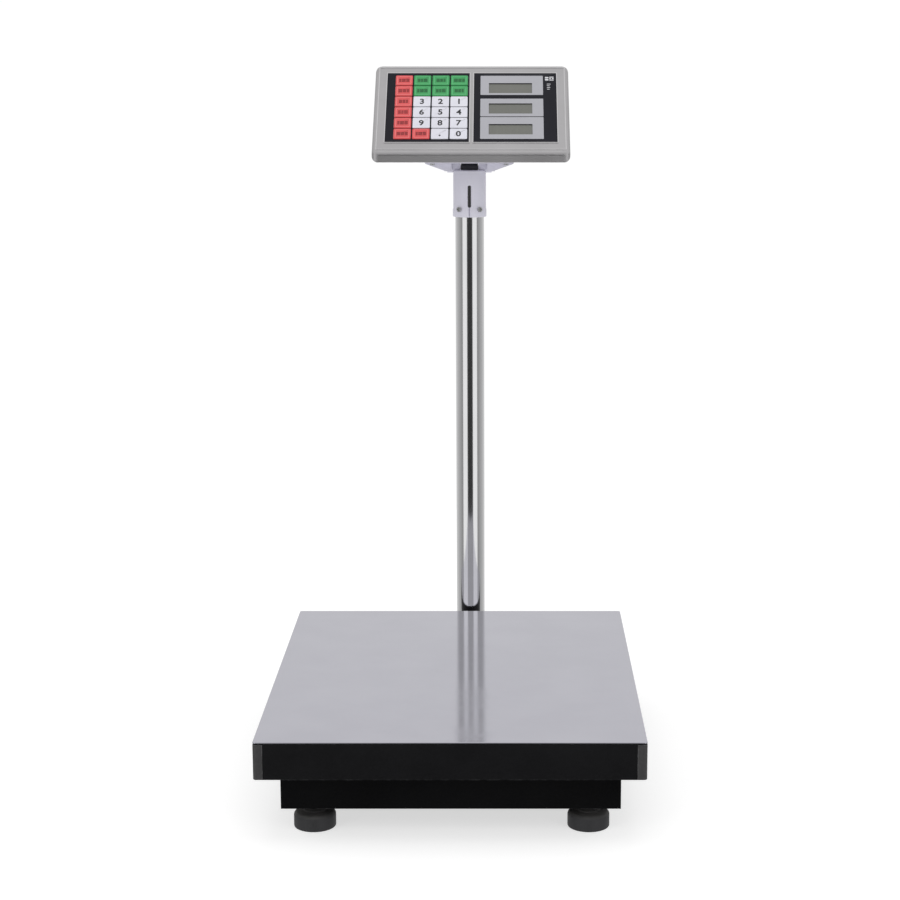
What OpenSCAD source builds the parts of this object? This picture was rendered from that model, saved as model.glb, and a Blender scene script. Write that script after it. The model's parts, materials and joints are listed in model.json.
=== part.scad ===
// Price-computing platform scale: a weighing deck on a levelled base frame, with a
// tilting keypad and display head on a column behind the deck.
// Millimetres. Floor at z = 0, +Z up, +X to the user's right, +Y away from the user.
// The origin is at floor level under the middle of the whole scale.

/* [Deck] */
// Width of the weighing deck, left to right
deck_w = 400; // [340:5:500]
// Depth of the weighing deck, front to back
deck_d = 500; // [420:5:620]
// Height of the deck's side skirts
skirt_h = 38.5; // [30:0.5:48]
// Sheet thickness of the deck tray
tray_t = 1.5; // [1:0.1:3]
// Thickness of the steel cover sheet on the deck
cover_t = 1.5; // [1:0.1:3]
// Width of the lap strip at each front and back corner of the skirts
lap_w = 10; // [6:1:16]
// How far a lap strip stands proud of the skirt
lap_proud = 0.6; // [0.3:0.1:1]

/* [Base frame] */
// How far the base frame stands in from the deck's edges
frame_inset = 25; // [20:1:40]
// Side of the square frame tube
rail = 40; // [34:1:46]
// Wall of the square frame tube
rail_t = 2; // [1.5:0.5:4]
// Height of the frame's underside above the floor
frame_z = 30; // [27:0.5:40]
// Thickness of the bed plate under the load cell
bed_t = 6; // [5:1:9]
// Width of the bed plate under the load cell
bed_w = 100; // [90:2:120]
// Distance of each foot's centre from the frame's edges
foot_in = 32; // [28:1:40]

/* [Load cell and spider] */
// Length of the load cell
cell_l = 150; // [130:2:180]
// Width of the load cell
cell_w = 45; // [40:1:60]
// Height of the load cell
cell_h = 38; // [34:1:48]
// Diameter of the load cell's two relief holes
cell_hole_d = 24; // [18:1:26]
// Thickness of the spacer above and below the load cell
spacer_t = 5; // [4:0.5:8]
// Height of the spider's tubes
spider_h = 20; // [18:1:26]
// Width of the spider's tubes
spider_w = 30; // [24:1:36]
// Thickness of the spider's mounting plate
spider_plate_t = 12; // [10:1:14]
// Thickness of the rubber pads between the spider and the deck tray
pad_t = 3; // [2:0.5:5]
// Gap between the overload stops and the spider
stop_gap = 1; // [0.9:0.1:2]

/* [Feet] */
// Diameter of a foot's pad
foot_d = 44; // [36:1:50]
// Height of a foot's pad
foot_h = 19; // [15:0.5:22]
// Diameter of a foot's threaded stem
stem_d = 10; // [8:1:12]

/* [Column] */
// Outside diameter of the column
column_d = 35; // [32:0.5:40]
// Wall of the column
column_t = 1.5; // [1:0.1:2]
// How far the column stands to the right of the deck's centre line
column_x = 13; // [0:1:20]
// Gap between the deck's back edge and the column
column_gap = 12.5; // [8:0.5:20]
// Height of the column's top end above the floor
column_top_z = 646; // [560:2:700]
// Height of the seat's socket above the arm that carries it
socket_rise = 33; // [25:1:40]

/* [Column adapter and tilt hinge] */
// Wall of the adapter's sleeve on the column
sleeve_t = 3; // [2.5:0.5:5]
// Length of the adapter's sleeve on the column
sleeve_l = 46.5; // [40:0.5:60]
// Thickness of the adapter's closed top
cap_t = 6; // [4:0.5:9]
// Width of the slot in the front of the sleeve
slot_w = 4.6; // [3:0.2:6]
// Height of the adapter's lip in front of the hinge
lip_h = 3.8; // [2:0.1:4.2]
// Height of the tilt axis above the adapter's top
hinge_rise = 6.5; // [6.5:0.1:9]
// Height of the head's underside above the tilt axis
head_rise = 10; // [10:0.5:14]
// Width of the hinge tongue
tongue_w = 20.6; // [16:0.2:24]
// Diameter of the tilt bolt
tilt_bolt_d = 5; // [4:0.5:6]
// Width of the bracket's plate under the head
bracket_w = 107; // [90:1:120]
// Depth of the bracket's plate under the head
bracket_d = 44; // [40:1:60]

/* [Head] */
// Width of the bright border at each side of the overlays
side_border = 14.9; // [10:0.1:30]
// Length of the bright border above the overlays
top_border = 12.25; // [8:0.05:24]
// Angle of the sloping face above the horizontal
face_tilt = 42; // [36:1:46]
// Height of the skirt below the face's lower edge
head_skirt = 11.5; // [9:0.5:20]
// Depth of the flat top behind the face's upper edge
head_top = 10; // [8:1:20]
// How far the head reaches in front of the column's axis
head_ahead = 80; // [70:1:84]
// How far the head's middle stands to the right of the column's axis
head_shift = 3; // [0:1:8]
// Wall of the head's shell
shell_t = 2; // [1.5:0.5:3]
// Radius of the head's front, top and back edges
head_r = 5; // [3:1:6]
// Radius of the head's corners, seen from above and from the front, at top and bottom
head_corner_r = 8; // [6:1:10]

/* [Face] */
// Width of the keypad overlay's edge at the left of the keys
key_edge_left = 10.1; // [6:0.1:16]
// Width of the keypad overlay's edge at the right of the keys
key_edge_right = 2.1; // [2:0.1:10]
// Length of the keypad overlay's edge above and below the keys
key_edge_v = 4.8; // [3:0.1:12]
// Thickness of the overlays
overlay_t = 1.2; // [1:0.1:2]
// Length of the bright border below the overlays
overlay_v = 17.4; // [14:0.2:24]
// Width of the bright strip between the overlays
overlay_gap = 5.4; // [4:0.2:8]
// How far the overlays stand proud of the face
overlay_proud = 0.4; // [0.2:0.1:0.8]
// Width of a key
key_w = 20.6; // [16:0.2:26]
// Length of a key, up the slope
key_l = 17; // [13:0.1:21]
// Width of the overlay's bar between neighbouring key columns
key_bar_u = 1.6; // [1.4:0.1:5]
// Width of the overlay's bar between neighbouring key rows
key_bar_v = 1.35; // [1.2:0.05:5]
// How far the keys stand proud of the overlay
key_proud = 0.8; // [0.6:0.1:1.6]
// Width of a display window
window_w = 52; // [40:1:60]
// Length of a display window, up the slope
window_l = 17.4; // [14:0.2:20]
// Distance from the display overlay's left edge to the windows
window_in = 18; // [4:0.5:30]
// How far the middle window stands below the overlay's middle
window_drop = 2.5; // [0:0.5:4]
// Distance between neighbouring display windows
window_pitch = 35.3; // [30:0.1:37]

/* [Clearances] */
// Radial clearance of a shaft or bolt in its hole
fit = 0.05; // [0.02:0.01:0.1]
// Gap round each key
key_gap = 0.3; // [0.3:0.05:0.4]
// Gap between parts that slide or turn past each other
side_gap = 0.5; // [0.4:0.1:0.8]

/* [Hidden] */
KEY_COLS = 4;
KEY_ROWS = 6;
$fn = 64;

// Power switch: the rocker's own sizes
rocker_w = 10.4;
rocker_half = 7.5;
rocker_out = 2.2;
rocker_in = 2;
rocker_angle = 8;
rocker_gap = 0.4;
pivot_d = 2;
pivot_in = 0.6;
rocker_reach = (rocker_out + rocker_in) * cos(rocker_angle)
    + rocker_half * sin(rocker_angle) - rocker_in;

// Sizes of the face, which the keys and the overlays' edges add up to
key_pitch_u = key_w + key_bar_u;
key_pitch_v = key_l + key_bar_v;
overlay_w = key_edge_left + KEY_COLS * key_pitch_u - key_bar_u + key_edge_right;
overlay_l = KEY_ROWS * key_pitch_v - key_bar_v + 2 * key_edge_v;
head_w = 2 * overlay_w + overlay_gap + 2 * side_border;
face_l = overlay_v + overlay_l + top_border;

// Places along the depth of the scale
face_run = face_l * cos(face_tilt);
face_rise = face_l * sin(face_tilt);
head_depth = face_run + head_top;
column_behind = deck_d / 2 + column_gap + column_d / 2;
back_reach = column_behind + head_depth - head_ahead + rocker_reach;
deck_y = -(back_reach - deck_d / 2) / 2;
column_y = deck_y + column_behind;
head_front_y = column_y - head_ahead;
head_back_y = head_front_y + head_depth;
head_x = column_x + head_shift;

// Heights, from the floor up
bed_top = frame_z + bed_t;
cell_z = bed_top + spacer_t;
cell_top = cell_z + cell_h;
spider_z = cell_top + spacer_t;
spider_top = spider_z + spider_h;
tray_under = spider_top + pad_t;
tray_top = tray_under + tray_t;
rail_top = frame_z + rail;
adapter_top = column_top_z + cap_t;
axis_z = adapter_top + hinge_rise;
head_z = axis_z + head_rise;
face_z = head_z + head_skirt;

// Base frame outline
frame_w = deck_w - 2 * frame_inset;
frame_d = deck_d - 2 * frame_inset;
foot_x = frame_w / 2 - foot_in;
foot_y = frame_d / 2 - foot_in;
foot_boss_h = 12;
foot_boss_d = stem_d + 6;
bed_rib_t = 4;
bed_rib_h = 24;

// Bolts: shank and head sizes of the M8 screws, and the load cell's hole pattern
m8_d = 8;
m8_head_d = 13;
m8_head_h = 8;
cell_bolt_step = 24;
cell_bolt_y = cell_l / 2 - 19;
cell_thread = 14;
seat_bolt_x = 42;
seat_bolt_z = [frame_z + 10, frame_z + 30];
seat_plate_t = 5;
seat_plate_w = 104;
arm_w = 60;
arm_h = 30;
arm_z = frame_z + 2;
arm_t = 3;
socket_t = 3;
socket_top = arm_z + arm_h + socket_rise;
socket_r = column_d / 2 + fit;
stop_d = 8;
stop_sunk = 12;
stop_y = frame_d / 2 - 60;
spider_x = frame_w / 2 - rail;
stop_x = spider_x + rail_t + stop_d / 2 + 3;

// Held cable: its diameter, and its route from the column's axis, chosen by hand
cable_d = 5;
cable_hole_r = 5;
cable_z = 50;
cable_step = 14;
CABLE = [
    [-12, -199, 60], [-12, -191, 59], [-10, -177, 55], [-7, -161, 51], [-3, -143, 50],
    [0, -125, 50], [0, -105, 50], [0, -45, 50], [0, -23, 50], [0, -13, 51], [0, -6, 55],
    [0, -1, 62], [0, 0, 72], [0, 0, 600], [0, 1, 614], [0, 5, 628], [0, 10, 640],
    [0, 12, 652], [0, 12, 664], [0, 12, 678]
];
cable_out_y = 12;
sleeve_d = column_d + 2 * sleeve_t;

// Tilt hinge
tongue_r = hinge_rise - 1;
cheek_r = hinge_rise - side_gap;
cheek_in = tongue_w / 2 + side_gap;
cheek_out = 27;
plate_z = axis_z + tongue_r + side_gap;
rib_in = sleeve_d / 2 + 1;
tilt_head_d = 9;
tilt_head_h = 4;

// Face layout
overlay_u = (overlay_w + overlay_gap) / 2;
overlay_mid_v = overlay_v + overlay_l / 2;
keys_u = -overlay_gap / 2 - key_edge_right - (KEY_COLS * key_pitch_u - key_bar_u) / 2;
window_u = overlay_gap / 2 + window_in + window_w / 2;
recess = overlay_t - overlay_proud;
lcd_margin = 3;
board_t = 1.6;
board_depth = 10;
key_depth = 3;
key_stem_d = 5;
key_rest_gap = 1.2;

// Steps in each rounded corner of the head, and how far its side outline runs on below it
head_r_steps = 8;
head_drop = 20;

// Case screws, and the bosses that they drive into
screw_d = 3;
screw_head_d = 6;
screw_head_h = 2;
sink_h = (screw_head_d - screw_d) / 2;
boss_r = 4;
boss_bite = 0.5;
base_gap = 0.2;
boss_h = 12;
boss_wall = shell_t + boss_r - boss_bite;
case_screw_x = head_w / 2 - head_corner_r - 6;
case_screw_y = [head_front_y + boss_wall, head_back_y - boss_wall];
bracket_screw_x = bracket_w / 2 - 9;
bracket_screw_y = bracket_d / 2 - 7;

// Battery: its size, the gap round it and the thickness of the tape pad under it
battery_w = 94;
battery_d = 46;
battery_h = 40;
battery_gap = 2.5;
battery_lift = 4;

// Fittings in the head's back wall
switch_x = head_x + 62;
inlet_x = head_x + 92;
fitting_z = head_z + 24;
bezel_w = 15;
bezel_l = 21;
bezel_t = 1.2;
inlet_d = 11;

// One flat bar or plate, centred on x and y, with its underside at z
module slab(w, d, h, z) {
    translate([-w / 2, -d / 2, z]) cube([w, d, h]);
}

// Rectangle with round corners, drawn from true circles
module round_rect(w, l, r) {
    square([w - 2 * r, l], center = true);
    square([w, l - 2 * r], center = true);
    for (x = [-1, 1], y = [-1, 1])
        translate([x * (w / 2 - r), y * (l / 2 - r)]) circle(r = r);
}

// Rectangular tube along X or Y, as an outer bar less its bore
module tube_x(l, w, h, t) {
    difference() {
        cube([l, w, h], center = true);
        cube([l + 1, w - 2 * t, h - 2 * t], center = true);
    }
}

module tube_y(l, w, h, t) {
    rotate([0, 0, 90]) tube_x(l, w, h, t);
}

// Socket-head screw pointing down, its head's underside at the origin
module cap_screw(length) {
    difference() {
        union() {
            translate([0, 0, -length]) cylinder(d = m8_d, h = length);
            cylinder(d = m8_head_d, h = m8_head_h);
        }
        translate([0, 0, m8_head_h - 4]) cylinder(d = 7, h = 5, $fn = 6);
    }
}

// Cross cut into the head of a small screw, its floor at the origin
module cross_slot(depth) {
    for (a = [0, 90])
        rotate([0, 0, a]) translate([-2, -0.4, -depth]) cube([4, 0.8, depth]);
}

// Countersunk screw pointing up, its head's flat side at the origin
module flat_screw(length) {
    difference() {
        union() {
            cylinder(d = screw_d, h = length);
            cylinder(d1 = screw_head_d, d2 = screw_d, h = sink_h);
        }
        translate([0, 0, 0.8]) cross_slot(1.8);
    }
}

// Small pan-head screw pointing up, its head's top side at the origin
module pan_screw(length) {
    difference() {
        union() {
            cylinder(d = screw_d, h = length);
            translate([0, 0, -screw_head_h]) cylinder(d = screw_head_d, h = screw_head_h);
        }
        translate([0, 0, 1 - screw_head_h]) cross_slot(2);
    }
}

// The four corners of the base frame, where the feet are
module at_feet() {
    for (x = [-1, 1], y = [-1, 1]) translate([x * foot_x, deck_y + y * foot_y, 0]) children();
}

// The four holes at one end of the load cell; end is 1 for the back and -1 for the front
module at_cell_bolts(end) {
    for (x = [-1, 1], y = [-1, 1])
        translate([x * cell_bolt_step / 2, deck_y + end * cell_bolt_y + y * cell_bolt_step / 2, 0])
            children();
}

// The four seat bolts' axes, pointing back from the rear rail's outer face
module at_seat_bolts() {
    for (x = [-1, 1], z = seat_bolt_z)
        translate([column_x + x * seat_bolt_x, deck_y + frame_d / 2, z])
            rotate([-90, 0, 0]) children();
}

module at_stops() {
    for (x = [-1, 1], y = [-1, 1]) translate([x * stop_x, deck_y + y * stop_y, 0]) children();
}

module base_frame() {
    color("#111113") difference() {
        union() {
            for (y = [-1, 1]) translate([0, deck_y + y * (frame_d - rail) / 2, frame_z + rail / 2])
                tube_x(frame_w, rail, rail, rail_t);
            for (x = [-1, 1]) translate([x * (frame_w - rail) / 2, deck_y, frame_z + rail / 2])
                tube_y(frame_d - 2 * rail, rail, rail, rail_t);
            for (x = [-1, 1]) translate([x * (frame_w - rail_t) / 2, deck_y, frame_z + rail / 2])
                cube([rail_t, frame_d, rail], center = true);
            translate([0, deck_y, 0]) slab(bed_w, frame_d - 2 * rail, bed_t, frame_z);
            for (x = [-1, 1]) translate([x * (bed_w - bed_rib_t) / 2, deck_y, 0])
                slab(bed_rib_t, frame_d - 2 * rail, bed_rib_h, bed_top);
            at_feet() translate([0, 0, frame_z]) cylinder(d = foot_boss_d, h = rail_t + foot_boss_h);
        }
        at_feet() translate([0, 0, frame_z - 1]) cylinder(d = stem_d + 2 * fit, h = foot_boss_h + 4);
        at_cell_bolts(1) translate([0, 0, frame_z - 1]) cylinder(d = m8_d + 2 * fit, h = bed_t + 2);
        at_seat_bolts() translate([0, 0, -rail_t - 1]) cylinder(d = m8_d + 2 * fit, h = rail_t + 2);
        at_stops() translate([0, 0, rail_top - rail_t - 1])
            cylinder(d = stop_d + 2 * fit, h = rail_t + 2);
        translate([column_x, deck_y + frame_d / 2 - rail - 1, cable_z]) rotate([-90, 0, 0])
            cylinder(r = cable_hole_r, h = rail + 2);
    }
}

module column_seat() {
    seat_y = deck_y + frame_d / 2;
    arm_l = column_y + socket_r + socket_t - seat_y - seat_plate_t;
    color("#161618") difference() {
        union() {
            translate([column_x, seat_y + seat_plate_t / 2, frame_z + rail / 2])
                cube([seat_plate_w, seat_plate_t, rail], center = true);
            translate([column_x, seat_y + seat_plate_t + arm_l / 2, arm_z + arm_h / 2])
                tube_y(arm_l, arm_w, arm_h, arm_t);
            translate([column_x, column_y, arm_z])
                cylinder(r = socket_r + socket_t, h = socket_top - arm_z);
            translate([column_x, seat_y + seat_plate_t + arm_l - arm_t / 2, arm_z + arm_h / 2])
                cube([arm_w, arm_t, arm_h], center = true);
        }
        translate([column_x, column_y, arm_z + arm_t]) cylinder(r = socket_r, h = socket_top);
        translate([column_x, seat_y - 1, cable_z]) rotate([-90, 0, 0])
            cylinder(r = cable_hole_r, h = column_y - seat_y);
        at_seat_bolts() translate([0, 0, -1]) cylinder(d = m8_d + 2 * fit, h = seat_plate_t + 2);
    }
}

module base_bolts() {
    color("#2e2e31") {
        at_cell_bolts(1) translate([0, 0, frame_z]) rotate([180, 0, 0])
            cap_screw(bed_t + spacer_t + cell_thread);
        at_seat_bolts() translate([0, 0, seat_plate_t]) cap_screw(seat_plate_t + 14);
    }
}

module load_cell() {
    relief = cell_hole_d / 2 + 2;
    color("#c6c9cc") difference() {
        union() {
            translate([0, deck_y, 0]) slab(cell_w, cell_l, cell_h, cell_z);
            translate([0, deck_y + cell_l / 2, 60]) rotate([-90, 0, 0]) cylinder(r = 4, h = 6);
        }
        for (y = [-1, 1]) translate([0, deck_y + y * relief, cell_z + cell_h / 2]) rotate([0, 90, 0])
            cylinder(d = cell_hole_d, h = cell_w + 2, center = true);
        translate([0, deck_y, cell_z + cell_h / 2]) cube([cell_w + 2, 2 * relief, 6], center = true);
        at_cell_bolts(1) translate([0, 0, cell_z - 1]) cylinder(d = m8_d + 2 * fit, h = cell_thread + 3);
        at_cell_bolts(-1) translate([0, 0, cell_top - cell_thread - 2])
            cylinder(d = m8_d + 2 * fit, h = cell_thread + 3);
    }
}

module cell_spacer(end, z) {
    color("#8d9196") difference() {
        translate([0, deck_y + end * cell_bolt_y, 0]) slab(cell_w, cell_bolt_step + 14, spacer_t, z);
        at_cell_bolts(end) translate([0, 0, z - 1]) cylinder(d = m8_d + 2 * fit, h = spacer_t + 2);
    }
}

module upper_cell_bolts() {
    color("#2e2e31") at_cell_bolts(-1) translate([0, 0, spider_z + spider_plate_t])
        cap_screw(spider_plate_t + spacer_t + cell_thread);
}

module platform_spider() {
    side_l = frame_d - 30;
    color("#1b1b1e") difference() {
        union() {
            for (x = [-1, 1]) translate([x * spider_x, deck_y, spider_z + spider_h / 2])
                tube_y(side_l, spider_w, spider_h, 2);
            for (y = [-1, 1]) translate([0, deck_y + y * (side_l - spider_w) / 2, spider_z + spider_h / 2])
                tube_x(2 * spider_x - spider_w, spider_w, spider_h, 2);
            translate([0, deck_y - cell_bolt_y, 0])
                slab(2 * spider_x - spider_w, cell_bolt_step + 30, spider_plate_t, spider_z);
        }
        at_cell_bolts(-1) translate([0, 0, spider_z - 1])
            cylinder(d = m8_d + 2 * fit, h = spider_plate_t + 2);
    }
}

module overload_stops() {
    stop_top = spider_z - stop_gap;
    color("#3a3a3d") at_stops() {
        translate([0, 0, rail_top - stop_sunk]) cylinder(d = stop_d, h = stop_top - rail_top + stop_sunk);
        translate([0, 0, rail_top]) cylinder(d = 15, h = 6.5, $fn = 6);
    }
}

module deck_pads() {
    color("#26262a") for (x = [-1, 1], y = [-1, 0, 1])
        translate([x * spider_x, deck_y + y * (frame_d / 2 - 60), spider_top]) cylinder(d = 22, h = pad_t);
}

module platform_tray() {
    w = deck_w - 2 * lap_proud;
    d = deck_d - 2 * lap_proud;
    color("#0c0c0d") difference() {
        translate([0, deck_y, 0]) union() {
            slab(w, d, skirt_h, tray_top - skirt_h);
            for (x = [-1, 1], y = [-1, 1]) {
                translate([x * (w - lap_w) / 2, y * (d / 2 - tray_t / 2), tray_top - skirt_h])
                    slab(lap_w, tray_t + 2 * lap_proud, skirt_h - cover_t, 0);
                translate([x * (w / 2 - tray_t / 2), y * (d - lap_w) / 2, tray_top - skirt_h])
                    slab(tray_t + 2 * lap_proud, lap_w, skirt_h - cover_t, 0);
            }
        }
        translate([0, deck_y, 0]) slab(w - 2 * tray_t, d - 2 * tray_t, skirt_h, tray_under - skirt_h);
    }
}

module platform_cover() {
    color("#b9b6bc") translate([0, deck_y, tray_top]) linear_extrude(cover_t) round_rect(deck_w, deck_d, 3);
}

// Levelling foot: a rounded pad turned on a threaded stem
module foot(x, y) {
    color("#2b2b2e") translate([x * foot_x, deck_y + y * foot_y, 0]) {
        rotate_extrude() polygon([
            [0, 0], [foot_d / 2 - 2, 0], [foot_d / 2, 2], [foot_d / 2, foot_h - 6],
            [foot_d / 2 - 4, foot_h - 2], [11, foot_h], [0, foot_h]
        ]);
        cylinder(d = stem_d, h = frame_z + rail - 13);
    }
}

module foot_lock_nuts() {
    color("#77797c") at_feet() difference() {
        translate([0, 0, frame_z - 6]) cylinder(d = 19.6, h = 6, $fn = 6);
        translate([0, 0, frame_z - 7]) cylinder(d = stem_d + 2 * fit, h = 8);
    }
}

module column_tube() {
    color("#d6d8da") translate([column_x, column_y, 0]) difference() {
        translate([0, 0, arm_z + arm_t]) cylinder(d = column_d, h = column_top_z - arm_z - arm_t);
        translate([0, 0, arm_z + arm_t - 1]) cylinder(d = column_d - 2 * column_t, h = column_top_z);
        translate([0, 0, cable_z]) rotate([90, 0, 0]) cylinder(r = cable_hole_r, h = column_d);
        at_adapter_screws() cylinder(d = screw_d + 2 * fit, h = column_d / 2);
    }
}

// Points of the cable's route, with none further apart than cable_step
function along(a, b) = let (n = ceil(norm(b - a) / cable_step)) [for (i = [0:n - 1]) a + (b - a) * i / n];
function route(p) = concat([for (i = [0:len(p) - 2]) each along(p[i], p[i + 1])], [p[len(p) - 1]]);
function unit(v) = v / norm(v);
function way(p, i) = unit(p[min(i + 1, len(p) - 1)] - p[max(i - 1, 0)]);

// Tube of one diameter swept along a route that stays near the plane of Y and Z
module swept_tube(points, d, sides) {
    p = route(points);
    rings = [for (i = [0:len(p) - 1])
        let (t = way(p, i), a = unit([1, 0, 0] - t * t[0]), b = cross(t, a))
            for (k = [0:sides - 1]) p[i] + d / 2 * (a * cos(360 * k / sides) + b * sin(360 * k / sides))];
    last = len(p) - 1;
    polyhedron(rings, concat(
        [[for (k = [0:sides - 1]) k]],
        [for (i = [0:last - 1], k = [0:sides - 1]) let (n = (k + 1) % sides)
            [(i + 1) * sides + k, (i + 1) * sides + n, i * sides + n, i * sides + k]],
        [[for (k = [sides - 1:-1:0]) last * sides + k]]
    ));
}

module signal_cable() {
    color("#303034") translate([column_x, column_y, 0]) swept_tube(CABLE, cable_d, 10);
}

// The two adapter screws' axes, pointing inwards from the sleeve's front
module at_adapter_screws() {
    for (a = [-36, 36]) rotate([0, 0, a])
        translate([0, -sleeve_d / 2, column_top_z - sleeve_l + 9.5]) rotate([-90, 0, 0]) children();
}

module column_adapter() {
    color("#d9d8de") translate([column_x, column_y, 0]) difference() {
        union() {
            translate([0, 0, column_top_z - sleeve_l]) cylinder(d = sleeve_d, h = sleeve_l + cap_t);
            intersection() {
                translate([0, 0, column_top_z]) cylinder(d = sleeve_d, h = cap_t + lip_h);
                translate([-sleeve_d / 2, -sleeve_d - cheek_r - side_gap, column_top_z])
                    cube([sleeve_d, sleeve_d, cap_t + lip_h]);
            }
        }
        translate([0, 0, column_top_z - sleeve_l - 1]) cylinder(r = column_d / 2 + fit, h = sleeve_l + 1);
        translate([-slot_w / 2, -sleeve_d, column_top_z - sleeve_l + 11.5]) cube([slot_w, sleeve_d, 27]);
        translate([0, 0, column_top_z - 1]) cylinder(r = tongue_r + fit, h = cap_t + 2);
        translate([0, cable_out_y, column_top_z - 1]) cylinder(r = 4, h = cap_t + 2);
        at_adapter_screws() translate([0, 0, -1]) cylinder(d = screw_d + 2 * fit, h = sleeve_d / 2);
    }
}

module adapter_screws() {
    color("#8f9296") translate([column_x, column_y, 0]) at_adapter_screws() pan_screw(7);
}

module hinge_tongue() {
    color("#1c1c1f") translate([column_x, column_y, 0]) difference() {
        union() {
            translate([0, 0, column_top_z]) cylinder(r = tongue_r, h = cap_t);
            slab(tongue_w, 2 * tongue_r, hinge_rise, adapter_top);
            translate([0, 0, axis_z]) rotate([0, 90, 0])
                cylinder(r = tongue_r, h = tongue_w, center = true);
        }
        translate([0, 0, axis_z]) rotate([0, 90, 0])
            cylinder(d = tilt_bolt_d + 2 * fit, h = tongue_w + 2, center = true);
    }
}

module tilt_bracket() {
    plate_t = head_z - plate_z;
    color("#d9d8de") translate([column_x, column_y, 0]) difference() {
        union() {
            slab(bracket_w, bracket_d, plate_t, plate_z);
            for (s = [-1, 1]) {
                translate([s * (cheek_in + cheek_out) / 2, 0, axis_z]) {
                    rotate([0, 90, 0]) cylinder(r = cheek_r, h = cheek_out - cheek_in, center = true);
                    slab(cheek_out - cheek_in, 2 * cheek_r, plate_z - axis_z, 0);
                }
                for (y = [-10, 10]) translate([0, y + 2, axis_z]) rotate([90, 0, 0]) linear_extrude(4)
                    polygon([
                        [s * rib_in, -4], [s * 28, -4], [s * bracket_w / 2, plate_z - axis_z - 1],
                        [s * bracket_w / 2, plate_z - axis_z], [s * rib_in, plate_z - axis_z]
                    ]);
            }
        }
        translate([0, 0, axis_z]) rotate([0, 90, 0])
            cylinder(d = tilt_bolt_d + 2 * fit, h = 2 * cheek_out + 2, center = true);
        translate([-4.5, 3.5, plate_z - 1]) cube([9, 16, plate_t + 2]);
        at_bracket_screws() translate([0, 0, plate_z - 1]) cylinder(d = screw_d + 2 * fit, h = plate_t + 2);
    }
}

module tilt_bolt() {
    color("#a9acb0") translate([column_x, column_y, axis_z]) rotate([0, 90, 0]) {
        translate([0, 0, -cheek_out - tilt_head_h - 2])
            cylinder(d = tilt_bolt_d, h = 2 * cheek_out + tilt_head_h + 2);
        translate([0, 0, cheek_out]) cylinder(d = tilt_head_d, h = tilt_head_h);
    }
}

module tilt_nut() {
    color("#a9acb0") translate([column_x, column_y, axis_z]) rotate([0, -90, 0])
        translate([0, 0, cheek_out]) difference() {
            cylinder(d = tilt_head_d, h = tilt_head_h, $fn = 6);
            translate([0, 0, -1]) cylinder(d = tilt_bolt_d + 2 * fit, h = tilt_head_h + 2);
        }
}

// Places on the sloping face: u to the right of the head's middle, v up from the face's
// lower edge, and Z out along the face's normal
module on_face(u, v) {
    translate([head_x, head_front_y, face_z]) rotate([face_tilt, 0, 0]) translate([u, v, 0]) children();
}

// The four bracket screws' axes, from the column's axis
module at_bracket_screws() {
    for (x = [-1, 1], y = [-1, 1]) translate([x * bracket_screw_x, y * bracket_screw_y, 0]) children();
}

// Places of the three display windows: -1 is the lower one, 0 the middle and 1 the upper
module at_window(i) {
    on_face(window_u, overlay_mid_v + i * window_pitch - window_drop) children();
}

module at_case_screws() {
    for (x = [-1, 1], y = case_screw_y) translate([head_x + x * case_screw_x, y, 0]) children();
}

// The head's side outline, in Y and Z, drawn in by m and carried on below the head's underside
function head_outline(m) =
    let (top = face_z + face_rise, k = m * tan(face_tilt / 2))
    [
        [head_front_y + m, head_z - head_drop], [head_front_y + m, face_z - k],
        [head_front_y + face_run + k, top - m], [head_back_y - m, top - m],
        [head_back_y - m, head_z - head_drop]
    ];

// Clockwise convex outline with arcs of radius r about the points given, in steps
function out_angle(a, b) = atan2(b[0] - a[0], a[1] - b[1]);
function round_outline(points, r, steps) =
    let (n = len(points)) [for (i = [0:n - 1])
        let (p = points[i], first = out_angle(points[(i + n - 1) % n], p),
             turn = (first - out_angle(p, points[(i + 1) % n]) + 720) % 360)
            for (k = [0:steps]) p + r * [cos(first - turn * k / steps), sin(first - turn * k / steps)]];

// Clockwise centres of a rectangle's corner arcs
function arc_centres(w, l, r) =
    let (x = w / 2 - r, y = l / 2 - r) [[-x, -y], [-x, y], [x, y], [x, -y]];

// Outline of the head as seen from above, drawn in by m
module head_plan(m) {
    translate([head_x, head_front_y + head_depth / 2])
        polygon(round_outline(
            arc_centres(head_w, head_depth, head_corner_r), head_corner_r - m, head_r_steps));
}

// Solid head body drawn in by m, rounded as seen from the side, from above and from the front
module rounded_head(m) {
    height = face_z + face_rise - head_z;
    intersection() {
        translate([head_x - head_w / 2, 0, 0]) rotate([90, 0, 90]) linear_extrude(head_w)
            polygon(round_outline(head_outline(head_r), head_r - m, head_r_steps));
        translate([0, 0, head_z - 1]) linear_extrude(height + 2) head_plan(m);
        translate([head_x, head_back_y + 1, head_z + height / 2]) rotate([90, 0, 0])
            linear_extrude(head_depth + 2) polygon(round_outline(
                arc_centres(head_w, height, head_corner_r), head_corner_r - m, head_r_steps));
    }
}

// The opening in the shell's underside that the base plate fills, less a gap all round
module base_opening(gap, bottom, height) {
    translate([head_x, head_front_y + head_depth / 2, 0])
        slab(head_w - 2 * head_corner_r - 2 * gap, head_depth - 2 * shell_t - 2 * gap, height, bottom);
}

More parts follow.
